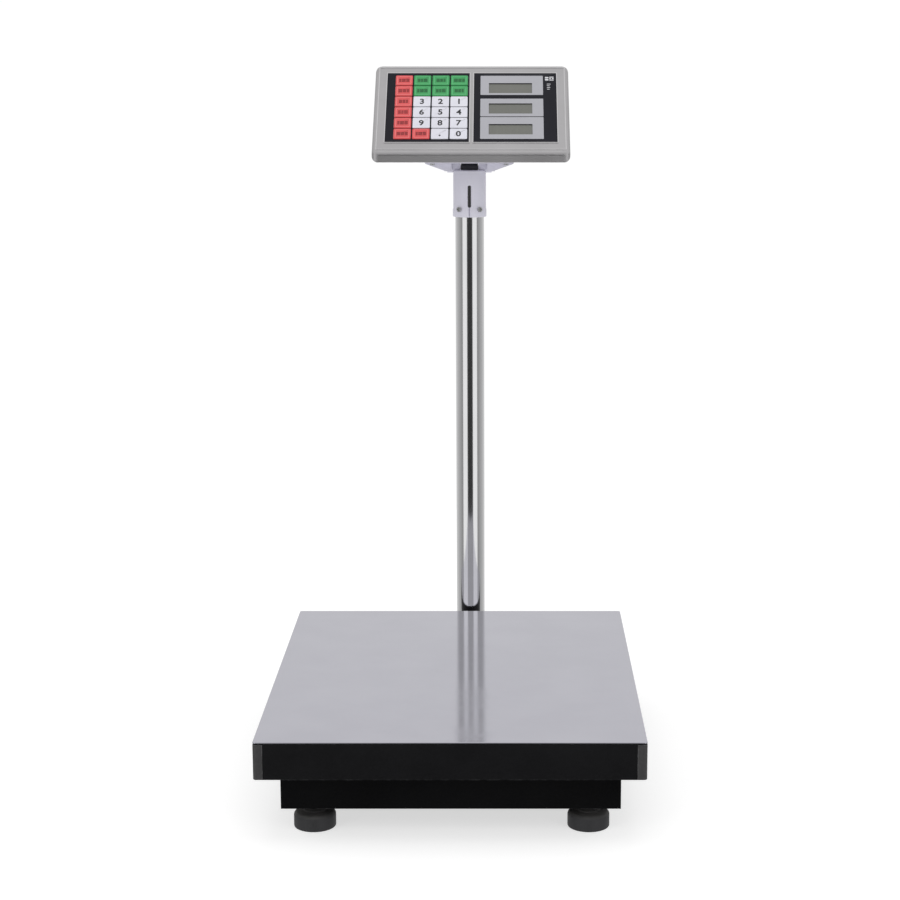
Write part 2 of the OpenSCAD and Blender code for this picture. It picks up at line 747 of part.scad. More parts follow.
module head_shell() {
    key_area_w = KEY_COLS * key_pitch_u;
    key_area_l = KEY_ROWS * key_pitch_v;
    color("#adabb0") difference() {
        union() {
            difference() {
                rounded_head(0);
                rounded_head(shell_t);
                base_opening(0, head_z - 1, shell_t + 2);
            }
            intersection() {
                rounded_head(shell_t - boss_bite);
                at_case_screws() translate([0, 0, head_z + shell_t]) cylinder(r = boss_r, h = boss_h);
            }
        }
        for (s = [-1, 1]) on_face(s * overlay_u, overlay_mid_v) translate([0, 0, -recess])
            slab(overlay_w + 0.2, overlay_l + 0.2, 10, 0);
        on_face(keys_u, overlay_mid_v) slab(key_area_w, key_area_l, 20, -10);
        for (i = [-1, 0, 1]) at_window(i)
            slab(window_w + 2 * lcd_margin + 1, window_l + 2 * lcd_margin + 1, 20, -10);
        at_case_screws() translate([0, 0, head_z]) cylinder(d = screw_d + 2 * fit, h = 12);
        translate([switch_x, head_back_y, fitting_z])
            cube([bezel_w - 1.6, 4 * shell_t, bezel_l - 1.6], center = true);
        translate([inlet_x, head_back_y - 10, fitting_z]) rotate([-90, 0, 0])
            cylinder(d = inlet_d + 2 * fit, h = 20);
    }
}

module head_base() {
    color("#9c9ba0") difference() {
        base_opening(base_gap, head_z, shell_t);
        translate([column_x - 4.5, column_y + 3.5, head_z - 1]) cube([9, 16, shell_t + 2]);
        translate([column_x, column_y, 0]) at_bracket_screws()
            translate([0, 0, head_z - 1]) cylinder(d = screw_d + 2 * fit, h = shell_t + 2);
        at_case_screws() translate([0, 0, head_z]) {
            translate([0, 0, -1]) cylinder(d = screw_d + 2 * fit, h = shell_t + 2);
            translate([0, 0, -0.01]) cylinder(d1 = screw_head_d + 2 * fit, d2 = screw_d + 2 * fit, h = sink_h);
        }
    }
}

module case_screws() {
    color("#8f9296") {
        at_case_screws() translate([0, 0, head_z]) flat_screw(11);
        translate([column_x, column_y, plate_z]) at_bracket_screws()
            pan_screw(head_z - plate_z + shell_t + 3);
    }
}

// Place of one key: row 1 is the top row and column 1 the left one
module at_key(row, col) {
    on_face(keys_u + (col - (KEY_COLS + 1) / 2) * key_pitch_u,
            overlay_mid_v - (row - (KEY_ROWS + 1) / 2) * key_pitch_v) children();
}

module keypad_overlay() {
    color("#242429") difference() {
        on_face(-overlay_u, overlay_mid_v) translate([0, 0, -recess])
            linear_extrude(overlay_t) round_rect(overlay_w, overlay_l, 1.5);
        for (row = [1:KEY_ROWS], col = [1:KEY_COLS]) at_key(row, col)
            slab(key_w + 2 * key_gap, key_l + 2 * key_gap, 10, -5);
    }
}

module display_overlay() {
    color("#242429") difference() {
        on_face(overlay_u, overlay_mid_v) translate([0, 0, -recess])
            linear_extrude(overlay_t) round_rect(overlay_w, overlay_l, 1.5);
        for (i = [-1, 0, 1]) at_window(i)
            slab(window_w, window_l, 10, -5);
    }
}

module lcd_modules() {
    color("#8a8f80") for (i = [-1, 0, 1]) at_window(i)
        slab(window_w + 2 * lcd_margin, window_l + 2 * lcd_margin, board_depth - board_t - recess,
            board_t - board_depth);
}

module main_board() {
    color("#1f5a35") on_face(0, overlay_mid_v)
        slab(2 * overlay_u + overlay_w - 4, overlay_l - 4, board_t, -board_depth);
}

module battery() {
    color("#4a4d52") translate([
        column_x - cable_d / 2 - battery_gap - battery_w / 2,
        head_back_y - shell_t - 2 * boss_r - battery_gap - battery_d / 2,
        head_z + shell_t + battery_lift
    ]) linear_extrude(battery_h) round_rect(battery_w, battery_d, 2);
}

module dc_inlet() {
    color("#1c1c1f") translate([inlet_x, head_back_y, fitting_z]) rotate([90, 0, 0]) difference() {
        union() {
            cylinder(d = inlet_d, h = 13);
            translate([0, 0, shell_t]) cylinder(d = inlet_d + 4, h = 4);
        }
        difference() {
            translate([0, 0, -1]) cylinder(d = 6.4, h = 11);
            cylinder(d = 2.1, h = 10);
        }
    }
}

module switch_bezel() {
    opening_w = rocker_w + 2 * rocker_gap;
    opening_l = 2 * rocker_half + 1.8;
    color("#18181b") translate([switch_x, head_back_y, fitting_z]) rotate([-90, 0, 0]) difference() {
        union() {
            linear_extrude(bezel_t) round_rect(bezel_w, bezel_l, 1.5);
            slab(bezel_w - 2, bezel_l - 2, 12, -12);
        }
        slab(opening_w, opening_l, 20, -9);
        translate([0, 0, -rocker_in]) rotate([0, 90, 0])
            cylinder(d = pivot_d + 2 * fit, h = bezel_w, center = true);
    }
}

module power_rocker() {
    color("#b3262a") translate([switch_x, head_back_y - rocker_in, fitting_z])
    rotate([rocker_angle, 0, 0]) {
        rotate([90, 0, 90]) linear_extrude(rocker_w, center = true) polygon([
            [-1.5, -rocker_half + 1.5], [rocker_in + rocker_out, -rocker_half],
            [rocker_in + 1.2, 0], [rocker_in + rocker_out, rocker_half], [-1.5, rocker_half - 1.5]
        ]);
        rotate([0, 90, 0])
            cylinder(d = pivot_d, h = rocker_w + 2 * (rocker_gap + pivot_in), center = true);
    }
}

function key_colour(row, col) =
    col == 1 || (row == 6 && col == 2) ? "#e15555" : row <= 2 ? "#41a05a" : "#e1e1eb";

module key(row, col) {
    top = overlay_proud + key_proud;
    stem_foot = board_t - board_depth + key_rest_gap;
    color(key_colour(row, col)) at_key(row, col) {
        translate([0, 0, top - key_depth]) linear_extrude(key_depth) round_rect(key_w, key_l, 1.2);
        translate([0, 0, stem_foot]) cylinder(d = key_stem_d, h = top - key_depth - stem_foot);
    }
}

base_frame();
column_seat();
base_bolts();
load_cell();
cell_spacer(1, bed_top);  // lower_spacer
cell_spacer(-1, cell_top);  // upper_spacer
upper_cell_bolts();
platform_spider();
overload_stops();
deck_pads();
platform_tray();
platform_cover();
foot(-1, -1);  // foot_front_left
foot(1, -1);  // foot_front_right
foot(-1, 1);  // foot_rear_left
foot(1, 1);  // foot_rear_right
foot_lock_nuts();
column_tube();
signal_cable();
column_adapter();
adapter_screws();
hinge_tongue();
tilt_bracket();
tilt_bolt();
tilt_nut();
head_shell();
head_base();
case_screws();
keypad_overlay();
display_overlay();
lcd_modules();
main_board();
battery();
dc_inlet();
switch_bezel();
power_rocker();
for (row = [1:KEY_ROWS], col = [1:KEY_COLS])
    key(row, col);
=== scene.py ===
"""Looks of the label printing platform scale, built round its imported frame.

Every place and size comes from the frame's own boxes and joints. Lengths are in metres.
"""

import json
import logging
import math
from dataclasses import dataclass, field
from enum import Enum

import bmesh
import bpy
from mathutils import Matrix, Vector

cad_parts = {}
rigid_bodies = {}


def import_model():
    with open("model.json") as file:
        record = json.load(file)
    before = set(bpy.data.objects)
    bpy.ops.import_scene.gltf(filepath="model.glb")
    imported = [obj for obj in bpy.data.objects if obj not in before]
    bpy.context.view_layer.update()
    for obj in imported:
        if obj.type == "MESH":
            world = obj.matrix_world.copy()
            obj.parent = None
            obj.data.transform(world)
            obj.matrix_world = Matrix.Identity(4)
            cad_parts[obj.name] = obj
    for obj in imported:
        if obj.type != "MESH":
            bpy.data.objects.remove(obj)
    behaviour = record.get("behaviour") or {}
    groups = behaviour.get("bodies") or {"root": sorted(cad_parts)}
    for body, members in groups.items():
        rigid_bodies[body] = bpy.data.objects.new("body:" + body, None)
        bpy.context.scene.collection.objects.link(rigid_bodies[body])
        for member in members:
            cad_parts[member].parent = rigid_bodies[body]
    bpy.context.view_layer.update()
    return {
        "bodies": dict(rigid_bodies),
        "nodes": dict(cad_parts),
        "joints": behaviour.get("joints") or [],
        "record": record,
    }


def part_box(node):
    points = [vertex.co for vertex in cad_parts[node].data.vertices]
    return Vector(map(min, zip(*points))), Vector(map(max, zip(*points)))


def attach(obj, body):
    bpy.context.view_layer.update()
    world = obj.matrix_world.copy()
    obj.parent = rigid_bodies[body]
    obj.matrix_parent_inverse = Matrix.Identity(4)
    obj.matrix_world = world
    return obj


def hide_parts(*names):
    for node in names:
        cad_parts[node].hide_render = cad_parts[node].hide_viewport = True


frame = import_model()

MM = 0.001
UP = Vector((0, 0, 1))
KEY_ROWS = 6
KEY_COLS = 4
SHARP_TURN = 60  # degrees between faces that meet at a corner
BUMP_DEPTH = 0.2 * MM
FOOT_NODES = ("foot_front_left", "foot_front_right", "foot_rear_left", "foot_rear_right")
# The numerals read the right way round; False draws them as in a mirror.
NUMERALS_READABLE = True

log = logging.getLogger("platform_scale")

Colour = tuple[float, float, float]


# ---------------------------------------------------------------- mesh helpers


def box_mesh(lo: Vector, hi: Vector) -> bmesh.types.BMesh:
    """Makes a box between two corners.

    Args:
        lo: Lowest corner.
        hi: Highest corner.

    Returns:
        The box.
    """
    bm = bmesh.new()
    bmesh.ops.create_cube(bm, size=1.0)
    bmesh.ops.scale(bm, vec=hi - lo, verts=bm.verts)
    bmesh.ops.translate(bm, vec=(lo + hi) / 2, verts=bm.verts)
    return bm


def edges_along(bm: bmesh.types.BMesh, axis: Vector) -> list[bmesh.types.BMEdge]:
    """Finds the edges that run along an axis.

    Args:
        bm: The mesh.
        axis: A unit vector.

    Returns:
        The edges parallel to it.
    """
    return [
        e for e in bm.edges
        if abs((e.verts[1].co - e.verts[0].co).normalized().dot(axis)) > 0.999
    ]


def round_edges(
    bm: bmesh.types.BMesh, edges: list[bmesh.types.BMEdge], radius: float, segments: int
) -> None:
    """Rounds edges in place.

    Args:
        bm: The mesh.
        edges: The edges to round.
        radius: Distance of the new edges from the old ones.
        segments: Steps across the rounding.
    """
    bmesh.ops.bevel(
        bm, geom=edges, offset=radius, offset_type="OFFSET", segments=segments,
        profile=0.5, affect="EDGES", clamp_overlap=True, material=-1,
    )


def sharp_edges(bm: bmesh.types.BMesh, angle: float) -> list[bmesh.types.BMEdge]:
    """Finds the edges that turn by more than an angle, in degrees."""
    limit = math.radians(angle)
    return [e for e in bm.edges if e.is_manifold and e.calc_face_angle(0.0) > limit]


def slab_mesh(
    lo: Vector, hi: Vector, corner: float, edge: float, steps: int = 6
) -> bmesh.types.BMesh:
    """Makes a plate with round corners and softened rims.

    Args:
        lo: Lowest corner.
        hi: Highest corner.
        corner: Radius of the upright corners.
        edge: Radius of the rims.
        steps: Steps in each corner.

    Returns:
        The plate.
    """
    bm = box_mesh(lo, hi)
    round_edges(bm, edges_along(bm, UP), corner, steps)
    if edge > 0:
        rims = [e for e in sharp_edges(bm, SHARP_TURN) if abs(e.verts[0].co.z - e.verts[1].co.z) < 1e-7]
        round_edges(bm, rims, edge, 3)
    return bm


def lathe(profile: list[tuple[float, float]], centre: Vector, steps: int) -> bmesh.types.BMesh:
    """Turns a profile about an upright axis.

    Args:
        profile: Points of radius and height, in millimetres, from the inside bottom round.
        centre: Where radius and height are zero.
        steps: Steps round the axis.

    Returns:
        The turned shape, closed where the profile is closed.
    """
    bm = bmesh.new()
    verts = [bm.verts.new((r * MM, 0, z * MM)) for r, z in profile]
    edges = [bm.edges.new(pair) for pair in zip(verts, verts[1:])]
    bmesh.ops.spin(
        bm, geom=verts + edges, cent=(0, 0, 0), axis=(0, 0, 1), dvec=(0, 0, 0),
        angle=2 * math.pi, steps=steps, use_merge=True, use_duplicate=False,
    )
    bmesh.ops.remove_doubles(bm, verts=bm.verts, dist=1e-7)
    bmesh.ops.recalc_face_normals(bm, faces=bm.faces)
    bmesh.ops.translate(bm, vec=centre, verts=bm.verts)
    return bm


def arc(
    cr: float, cz: float, r: float, start: float, end: float, steps: int
) -> list[tuple[float, float]]:
    """Lists points of an arc for a lathe's profile.

    Args:
        cr: Radius coordinate of the arc's centre.
        cz: Height of the arc's centre.
        r: Radius of the arc.
        start: First angle, in degrees from the outward direction.
        end: Last angle.
        steps: Steps along the arc.

    Returns:
        The points.
    """
    angles = [math.radians(start + (end - start) * i / steps) for i in range(steps + 1)]
    return [(cr + r * math.cos(a), cz + r * math.sin(a)) for a in angles]


def rod_mesh(start: Vector, end: Vector, radius: float, steps: int = 32) -> bmesh.types.BMesh:
    """Makes a straight rod.

    Args:
        start: Centre of one end.
        end: Centre of the other end.
        radius: The rod's radius.
        steps: Sides of the rod.

    Returns:
        The rod.
    """
    along = end - start
    turn = along.to_track_quat("Z", "Y").to_matrix().to_4x4()
    bm = bmesh.new()
    bmesh.ops.create_cone(
        bm, cap_ends=True, segments=steps, radius1=radius, radius2=radius,
        depth=along.length, matrix=Matrix.Translation((start + end) / 2) @ turn,
    )
    return bm


def border_meshes(low: Vector, high: Vector, width: float) -> list[bmesh.types.BMesh]:
    """Makes four bars that run round the outside of a rectangle.

    Args:
        low: The rectangle's lower corner, with the bars' bottom as its Z.
        high: The rectangle's upper corner, with the bars' top as its Z.
        width: The bars' width.

    Returns:
        One mesh for each bar.
    """
    x0, y0, x1, y1 = low.x, low.y, high.x, high.y
    spans = (
        (x0 - width, y0 - width, x1 + width, y0), (x0 - width, y1, x1 + width, y1 + width),
        (x0 - width, y0, x0, y1), (x1, y0, x1 + width, y1),
    )
    return [box_mesh(Vector((a, b, low.z)), Vector((c, d, high.z))) for a, b, c, d in spans]


def merged(parts: list[bmesh.types.BMesh]) -> bmesh.types.BMesh:
    """Puts several meshes into one and frees them."""
    whole = bmesh.new()
    for part in parts:
        carrier = bpy.data.meshes.new("carrier")
        part.to_mesh(carrier)
        part.free()
        whole.from_mesh(carrier)
        bpy.data.meshes.remove(carrier)
    return whole


def mesh_object(name: str, bm: bmesh.types.BMesh) -> bpy.types.Object:
    """Links a mesh to the scene as an object at the origin, and frees the mesh."""
    mesh = bpy.data.meshes.new(name)
    bm.to_mesh(mesh)
    bm.free()
    obj = bpy.data.objects.new(name, mesh)
    bpy.context.scene.collection.objects.link(obj)
    return obj


def settle(obj: bpy.types.Object) -> None:
    """Applies an object's modifiers to its mesh."""
    depsgraph = bpy.context.evaluated_depsgraph_get()
    mesh = bpy.data.meshes.new_from_object(obj.evaluated_get(depsgraph))
    old = obj.data
    obj.modifiers.clear()
    obj.data = mesh
    bpy.data.meshes.remove(old)


def carve(obj: bpy.types.Object, cutters: list[bmesh.types.BMesh]) -> None:
    """Cuts shapes out of an object, one after another.

    Args:
        obj: The object to cut.
        cutters: Closed shapes, which are freed.
    """
    tools = [mesh_object("cutter", bm) for bm in cutters]
    for tool in tools:
        cut = obj.modifiers.new("cut", "BOOLEAN")
        cut.operation = "DIFFERENCE"
        cut.solver = "EXACT"
        cut.object = tool
    settle(obj)
    for tool in tools:
        bpy.data.objects.remove(tool)


def finish_piece(
    obj: bpy.types.Object, material: bpy.types.Material, body: str,
    replaces: tuple[str, ...] = (), smooth: float = 32.0,
) -> bpy.types.Object:
    """Dresses a piece and ties it to the frame.

    Args:
        obj: The piece, in place.
        material: Its finish.
        body: The body that it rides on.
        replaces: CAD nodes that it stands for.
        smooth: Angle in degrees under which faces shade as one surface.

    Returns:
        The same object.
    """
    obj.data.materials.clear()
    obj.data.materials.append(material)
    obj.data.polygons.foreach_set("use_smooth", [True] * len(obj.data.polygons))
    obj.data.set_sharp_from_angle(angle=math.radians(smooth))
    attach(obj, body)
    if replaces:
        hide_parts(*replaces)
    log.info("%s rides on %s with %d faces", obj.name, body, len(obj.data.polygons))
    return obj


# ---------------------------------------------------------------- the sloping face


@dataclass
class FaceAxes:
    """Axes of the head's sloping face: u to the right, v up the slope, n outwards."""

    u: Vector
    v: Vector
    n: Vector

    @classmethod
    def from_frame(cls) -> "FaceAxes":
        """Reads the axes from the direction in which the keys travel."""
        travel = next(j["axis"] for j in frame["joints"] if j["name"] == "press_r1c1")
        n = -Vector(travel).normalized()
        u = Vector((1, 0, 0))
        return cls(u=u, v=n.cross(u), n=n)

    def matrix(self) -> Matrix:
        """Gives the turn from face coordinates to the frame's."""
        return Matrix((self.u, self.v, self.n)).transposed().to_4x4()

    def extent(self, node: str) -> tuple[Vector, Vector]:
        """Measures a CAD node in face coordinates.

        Args:
            node: The node's name.

        Returns:
            Its lowest and highest corners along u, v and n.
        """
        points = [v.co for v in frame["nodes"][node].data.vertices]
        lows, highs = [], []
        for axis in (self.u, self.v, self.n):
            along = [p.dot(axis) for p in points]
            lows.append(min(along))
            highs.append(max(along))
        return Vector(lows), Vector(highs)

    def place(self, bm: bmesh.types.BMesh) -> bmesh.types.BMesh:
        """Turns a mesh drawn in face coordinates into the frame's."""
        bmesh.ops.transform(bm, matrix=self.matrix(), verts=bm.verts)
        return bm


FACE = FaceAxes.from_frame()


# ---------------------------------------------------------------- shader groups


class NodeSheet:
    """A node tree that is being drawn."""

    def __init__(self, tree: bpy.types.NodeTree) -> None:
        """Starts on a tree."""
        self.tree = tree

    def add(
        self, kind: str, inputs: dict[str | int, object] | None = None, **settings: object
    ) -> bpy.types.Node:
        """Adds a node.

        Args:
            kind: The node's type.
            inputs: What each input takes, a socket or a value.
            **settings: Properties of the node, set before its inputs.

        Returns:
            The node.
        """
        node = self.tree.nodes.new(kind)
        for key, value in settings.items():
            setattr(node, key, value)
        for key, value in (inputs or {}).items():
            if isinstance(value, bpy.types.NodeSocket):
                self.link(value, node.inputs[key])
            else:
                node.inputs[key].default_value = value
        return node

    def link(self, source: bpy.types.NodeSocket, target: bpy.types.NodeSocket) -> None:
        """Joins an output to an input."""
        self.tree.links.new(source, target)

    def math(
        self, operation: str, first: bpy.types.NodeSocket, second: bpy.types.NodeSocket | float
    ) -> bpy.types.NodeSocket:
        """Combines two values.

        Args:
            operation: The Math node's operation.
            first: The first value.
            second: The second value, a socket or a number.

        Returns:
            The result.
        """
        return self.add("ShaderNodeMath", {0: first, 1: second}, operation=operation).outputs[0]

    def spread(
        self, value: bpy.types.NodeSocket, low: float, high: float,
        to_low: float = 0.0, to_high: float = 1.0,
    ) -> bpy.types.NodeSocket:
        """Maps a value from one range to another, and holds it there.

        Args:
            value: The value.
            low: Start of its range.
            high: End of its range.
            to_low: What the start becomes.
            to_high: What the end becomes.

        Returns:
            The mapped value.
        """
        inputs = {
            "Value": value, "From Min": low, "From Max": high, "To Min": to_low, "To Max": to_high
        }
        return self.add("ShaderNodeMapRange", inputs, clamp=True).outputs["Result"]

    def weighed(
        self, main: bpy.types.NodeSocket, other: bpy.types.NodeSocket
    ) -> bpy.types.NodeSocket:
        """Adds two patterns, the first a little stronger, and gives the sum."""
        return self.math("ADD", self.math("MULTIPLY", main, 0.6), self.math("MULTIPLY", other, 0.4))

    def noise(
        self, vector: bpy.types.NodeSocket, scale: float, detail: float = 3.0
    ) -> bpy.types.NodeSocket:
        """Adds a noise pattern and gives its value."""
        inputs = {"Vector": vector, "Scale": scale, "Detail": detail}
        return self.add("ShaderNodeTexNoise", inputs).outputs["Fac"]


class Effect(Enum):
    """The shader node groups that the finishes share."""

    STREAKS = "long_streaks"
    SPECKLE = "fine_speckle"
    WEAR_AND_HIGHLIGHT = "edge_wear"
    DUST = "settled_dust"
    SMUDGE = "hand_smudges"


class EffectLibrary:
    """Builds each shared effect once."""

    def __init__(self) -> None:
        """Starts with no effect built."""
        self.groups: dict[Effect, bpy.types.NodeTree] = {}

    def get(self, effect: Effect) -> bpy.types.NodeTree:
        """Gives an effect's group, building it the first time."""
        if effect not in self.groups:
            builders = {
                Effect.STREAKS: self._streaks,
                Effect.SPECKLE: self._speckle,
                Effect.WEAR_AND_HIGHLIGHT: self._wear_and_highlight,
                Effect.DUST: self._dust,
                Effect.SMUDGE: self._smudge,
            }
            self.groups[effect] = builders[effect](effect.value)
        return self.groups[effect]

    @staticmethod
    def _start(
        name: str, inputs: dict[str, float | None]
    ) -> tuple[NodeSheet, bpy.types.Node, bpy.types.Node]:
        """Opens a group.

        Args:
            name: The group's name.
            inputs: Names of its inputs with their values; None makes a vector input.

        Returns:
            The sheet, the group's input node and its output node.
        """
        tree = bpy.data.node_groups.new(name, "ShaderNodeTree")
        for key, value in inputs.items():
            kind = "NodeSocketVector" if value is None else "NodeSocketFloat"
            socket = tree.interface.new_socket(name=key, in_out="INPUT", socket_type=kind)
            if value is not None:
                socket.default_value = value
        tree.interface.new_socket(name="Mask", in_out="OUTPUT", socket_type="NodeSocketFloat")
        sheet = NodeSheet(tree)
        return sheet, sheet.add("NodeGroupInput"), sheet.add("NodeGroupOutput")

    def _streaks(self, name: str) -> bpy.types.NodeTree:
        """Long thin streaks of brushing, along the axis whose stretch is smallest."""
        sheet, given, out = self._start(name, {"Vector": None, "Stretch": None, "Contrast": 1.0})
        factors = {0: given.outputs["Vector"], 1: given.outputs["Stretch"]}
        scaled = sheet.add("ShaderNodeVectorMath", factors, operation="MULTIPLY")
        coarse = sheet.noise(scaled.outputs[0], 1.0, 4.0)
        fine = sheet.noise(scaled.outputs[0], 3.1, 2.0)
        both = sheet.weighed(coarse, fine)
        centred = sheet.math("SUBTRACT", both, 0.5)
        strong = sheet.math("MULTIPLY", centred, given.outputs["Contrast"])
        sheet.link(sheet.math("ADD", strong, 0.5), out.inputs["Mask"])
        return sheet.tree

    def _speckle(self, name: str) -> bpy.types.NodeTree:
        """Small even grain of a moulded or sprayed surface."""
        sheet, given, out = self._start(name, {"Vector": None, "Scale": 900.0})
        inputs = {name: given.outputs[name] for name in ("Vector", "Scale")}
        cells = sheet.add("ShaderNodeTexVoronoi", inputs)
        cloud = sheet.add("ShaderNodeTexNoise", inputs)
        mixed = sheet.math("MULTIPLY", cells.outputs["Distance"], cloud.outputs["Fac"])
        sheet.link(sheet.spread(mixed, 0.05, 0.5), out.inputs["Mask"])
        return sheet.tree

    def _wear_and_highlight(self, name: str) -> bpy.types.NodeTree:
        """Rubbed edges, broken up by noise. On head_steel the same mask paints bright edge highlights
        where the head's steps and rims catch light.
        """
        sheet, given, out = self._start(name, {"Vector": None, "Amount": 0.5, "Radius": 0.0006})
        rounded = sheet.add("ShaderNodeBevel", {"Radius": given.outputs["Radius"]}, samples=4)
        surface = sheet.add("ShaderNodeNewGeometry")
        normals = {0: rounded.outputs["Normal"], 1: surface.outputs["Normal"]}
        agree = sheet.add("ShaderNodeVectorMath", normals, operation="DOT_PRODUCT")
        edge = sheet.spread(agree.outputs["Value"], 0.995, 0.9)
        patchy = sheet.spread(sheet.noise(given.outputs["Vector"], 130.0, 5.0), 0.42, 0.62)
        rubbed = sheet.math("MULTIPLY", edge, patchy)
        sheet.link(sheet.math("MULTIPLY", rubbed, given.outputs["Amount"]), out.inputs["Mask"])
        return sheet.tree

    def _dust(self, name: str) -> bpy.types.NodeTree:
        """Dust that settles on what faces upwards."""
        sheet, given, out = self._start(name, {"Vector": None, "Amount": 0.3})
        surface = sheet.add("ShaderNodeNewGeometry")
        parts = sheet.add("ShaderNodeSeparateXYZ", {0: surface.outputs["Normal"]})
        flat = sheet.spread(parts.outputs["Z"], 0.2, 1.0)
        cloud = sheet.spread(sheet.noise(given.outputs["Vector"], 22.0, 6.0), 0.35, 0.75)
        settled = sheet.math("MULTIPLY", flat, cloud)
        sheet.link(sheet.math("MULTIPLY", settled, given.outputs["Amount"]), out.inputs["Mask"])
        return sheet.tree

    def _smudge(self, name: str) -> bpy.types.NodeTree:
        """Broad faint marks left by hands and cloths."""
        sheet, given, out = self._start(name, {"Vector": None, "Amount": 0.5})
        broad = sheet.spread(sheet.noise(given.outputs["Vector"], 9.0, 2.0), 0.45, 0.7)
        broken = sheet.spread(sheet.noise(given.outputs["Vector"], 70.0, 4.0), 0.3, 0.7)
        smear = sheet.math("MULTIPLY", broad, broken)
        sheet.link(sheet.math("MULTIPLY", smear, given.outputs["Amount"]), out.inputs["Mask"])
        return sheet.tree


EFFECTS = EffectLibrary()


# ---------------------------------------------------------------- finishes


class Grain(Enum):
    """How a surface is textured."""

    BRUSHED = "brushed"
    MOULDED = "moulded"


@dataclass(frozen=True)
class Finish:
    """One finish: its colours, gloss, grain, what use has done to it, and any painted edge highlight.
    """

    name: str
    base: Colour
    varied: Colour
    roughness: float
    roughness_spread: float = 0.08
    metallic: float = 0.0
    specular: float = 0.5
    coat: float = 0.0
    coat_roughness: float = 0.08
    grain: Grain = Grain.MOULDED
    stretch: Colour = (900.0, 40.0, 900.0)
    speckle: float = 900.0
    bump: float = 0.05
    wear_and_highlight: float = 0.0
    wear_and_highlight_colour: Colour = (0.35, 0.35, 0.36)
    dust: float = 0.0
    dust_colour: Colour = (0.32, 0.31, 0.29)
    smudge: float = 0.0

    def build(self) -> bpy.types.Material:
        """Makes the material."""
        material = bpy.data.materials.new(self.name)
        material.use_nodes = True
        sheet = NodeSheet(material.node_tree)
        shader = material.node_tree.nodes["Principled BSDF"]
        for socket, number in (
            ("Metallic", self.metallic), ("Specular IOR Level", self.specular),
            ("Coat Weight", self.coat), ("Coat Roughness", self.coat_roughness),
        ):
            shader.inputs[socket].default_value = number
        place = sheet.add("ShaderNodeTexCoord").outputs["Object"]
        grain = self._grain(sheet, place)
        cloud = sheet.spread(sheet.noise(place, 14.0, 4.0), 0.35, 0.65)
        mottle = sheet.weighed(grain, cloud)
        colour = self._mixed(sheet, mottle, self.base, self.varied)
        rough = sheet.spread(
            mottle, 0.0, 1.0, max(0.02, self.roughness - self.roughness_spread),
            min(1.0, self.roughness + self.roughness_spread),
        )
        if self.smudge > 0:
            mask = self._effect(sheet, place, Effect.SMUDGE, self.smudge)
            rough = sheet.math("ADD", rough, sheet.math("MULTIPLY", mask, 0.22))
        if self.dust > 0:
            mask = self._effect(sheet, place, Effect.DUST, self.dust)
            colour = self._mixed(sheet, mask, colour, self.dust_colour)
            rough = sheet.math("ADD", rough, sheet.math("MULTIPLY", mask, 0.5))
        # Rubbed edges in the edge colour; on head_steel this mask paints bright edge highlights where
        # light catches the rims.
        if self.wear_and_highlight > 0:
            mask = self._effect(sheet, place, Effect.WEAR_AND_HIGHLIGHT, self.wear_and_highlight)
            colour = self._mixed(sheet, mask, colour, self.wear_and_highlight_colour)
        sheet.link(colour, shader.inputs["Base Color"])
        sheet.link(rough, shader.inputs["Roughness"])
        relief = {"Strength": self.bump, "Distance": BUMP_DEPTH, "Height": grain}
        bump = sheet.add("ShaderNodeBump", relief)
        sheet.link(bump.outputs["Normal"], shader.inputs["Normal"])
        return material

    def _grain(self, sheet: NodeSheet, place: bpy.types.NodeSocket) -> bpy.types.NodeSocket:
        """Adds the surface's grain and gives its mask."""
        brushed = self.grain is Grain.BRUSHED
        tree = EFFECTS.get(Effect.STREAKS if brushed else Effect.SPECKLE)
        own = {"Stretch": self.stretch} if brushed else {"Scale": self.speckle}
        return sheet.add("ShaderNodeGroup", {"Vector": place, **own}, node_tree=tree).outputs["Mask"]

    @staticmethod
    def _effect(
        sheet: NodeSheet, place: bpy.types.NodeSocket, effect: Effect, amount: float
    ) -> bpy.types.NodeSocket:
        """Adds a shared effect at an amount and gives its mask."""
        inputs = {"Vector": place, "Amount": amount}
        return sheet.add("ShaderNodeGroup", inputs, node_tree=EFFECTS.get(effect)).outputs["Mask"]

    @staticmethod
    def _mixed(
        sheet: NodeSheet, mask: bpy.types.NodeSocket,
        first: bpy.types.NodeSocket | Colour, second: Colour,
    ) -> bpy.types.NodeSocket:
        """Mixes two colours by a mask and gives the result."""
        start = (*first, 1.0) if isinstance(first, tuple) else first
        inputs = {"Factor": mask, "A": start, "B": (*second, 1.0)}
        mix = sheet.add("ShaderNodeMix", inputs, data_type="RGBA", clamp_factor=True)
        return mix.outputs["Result"]


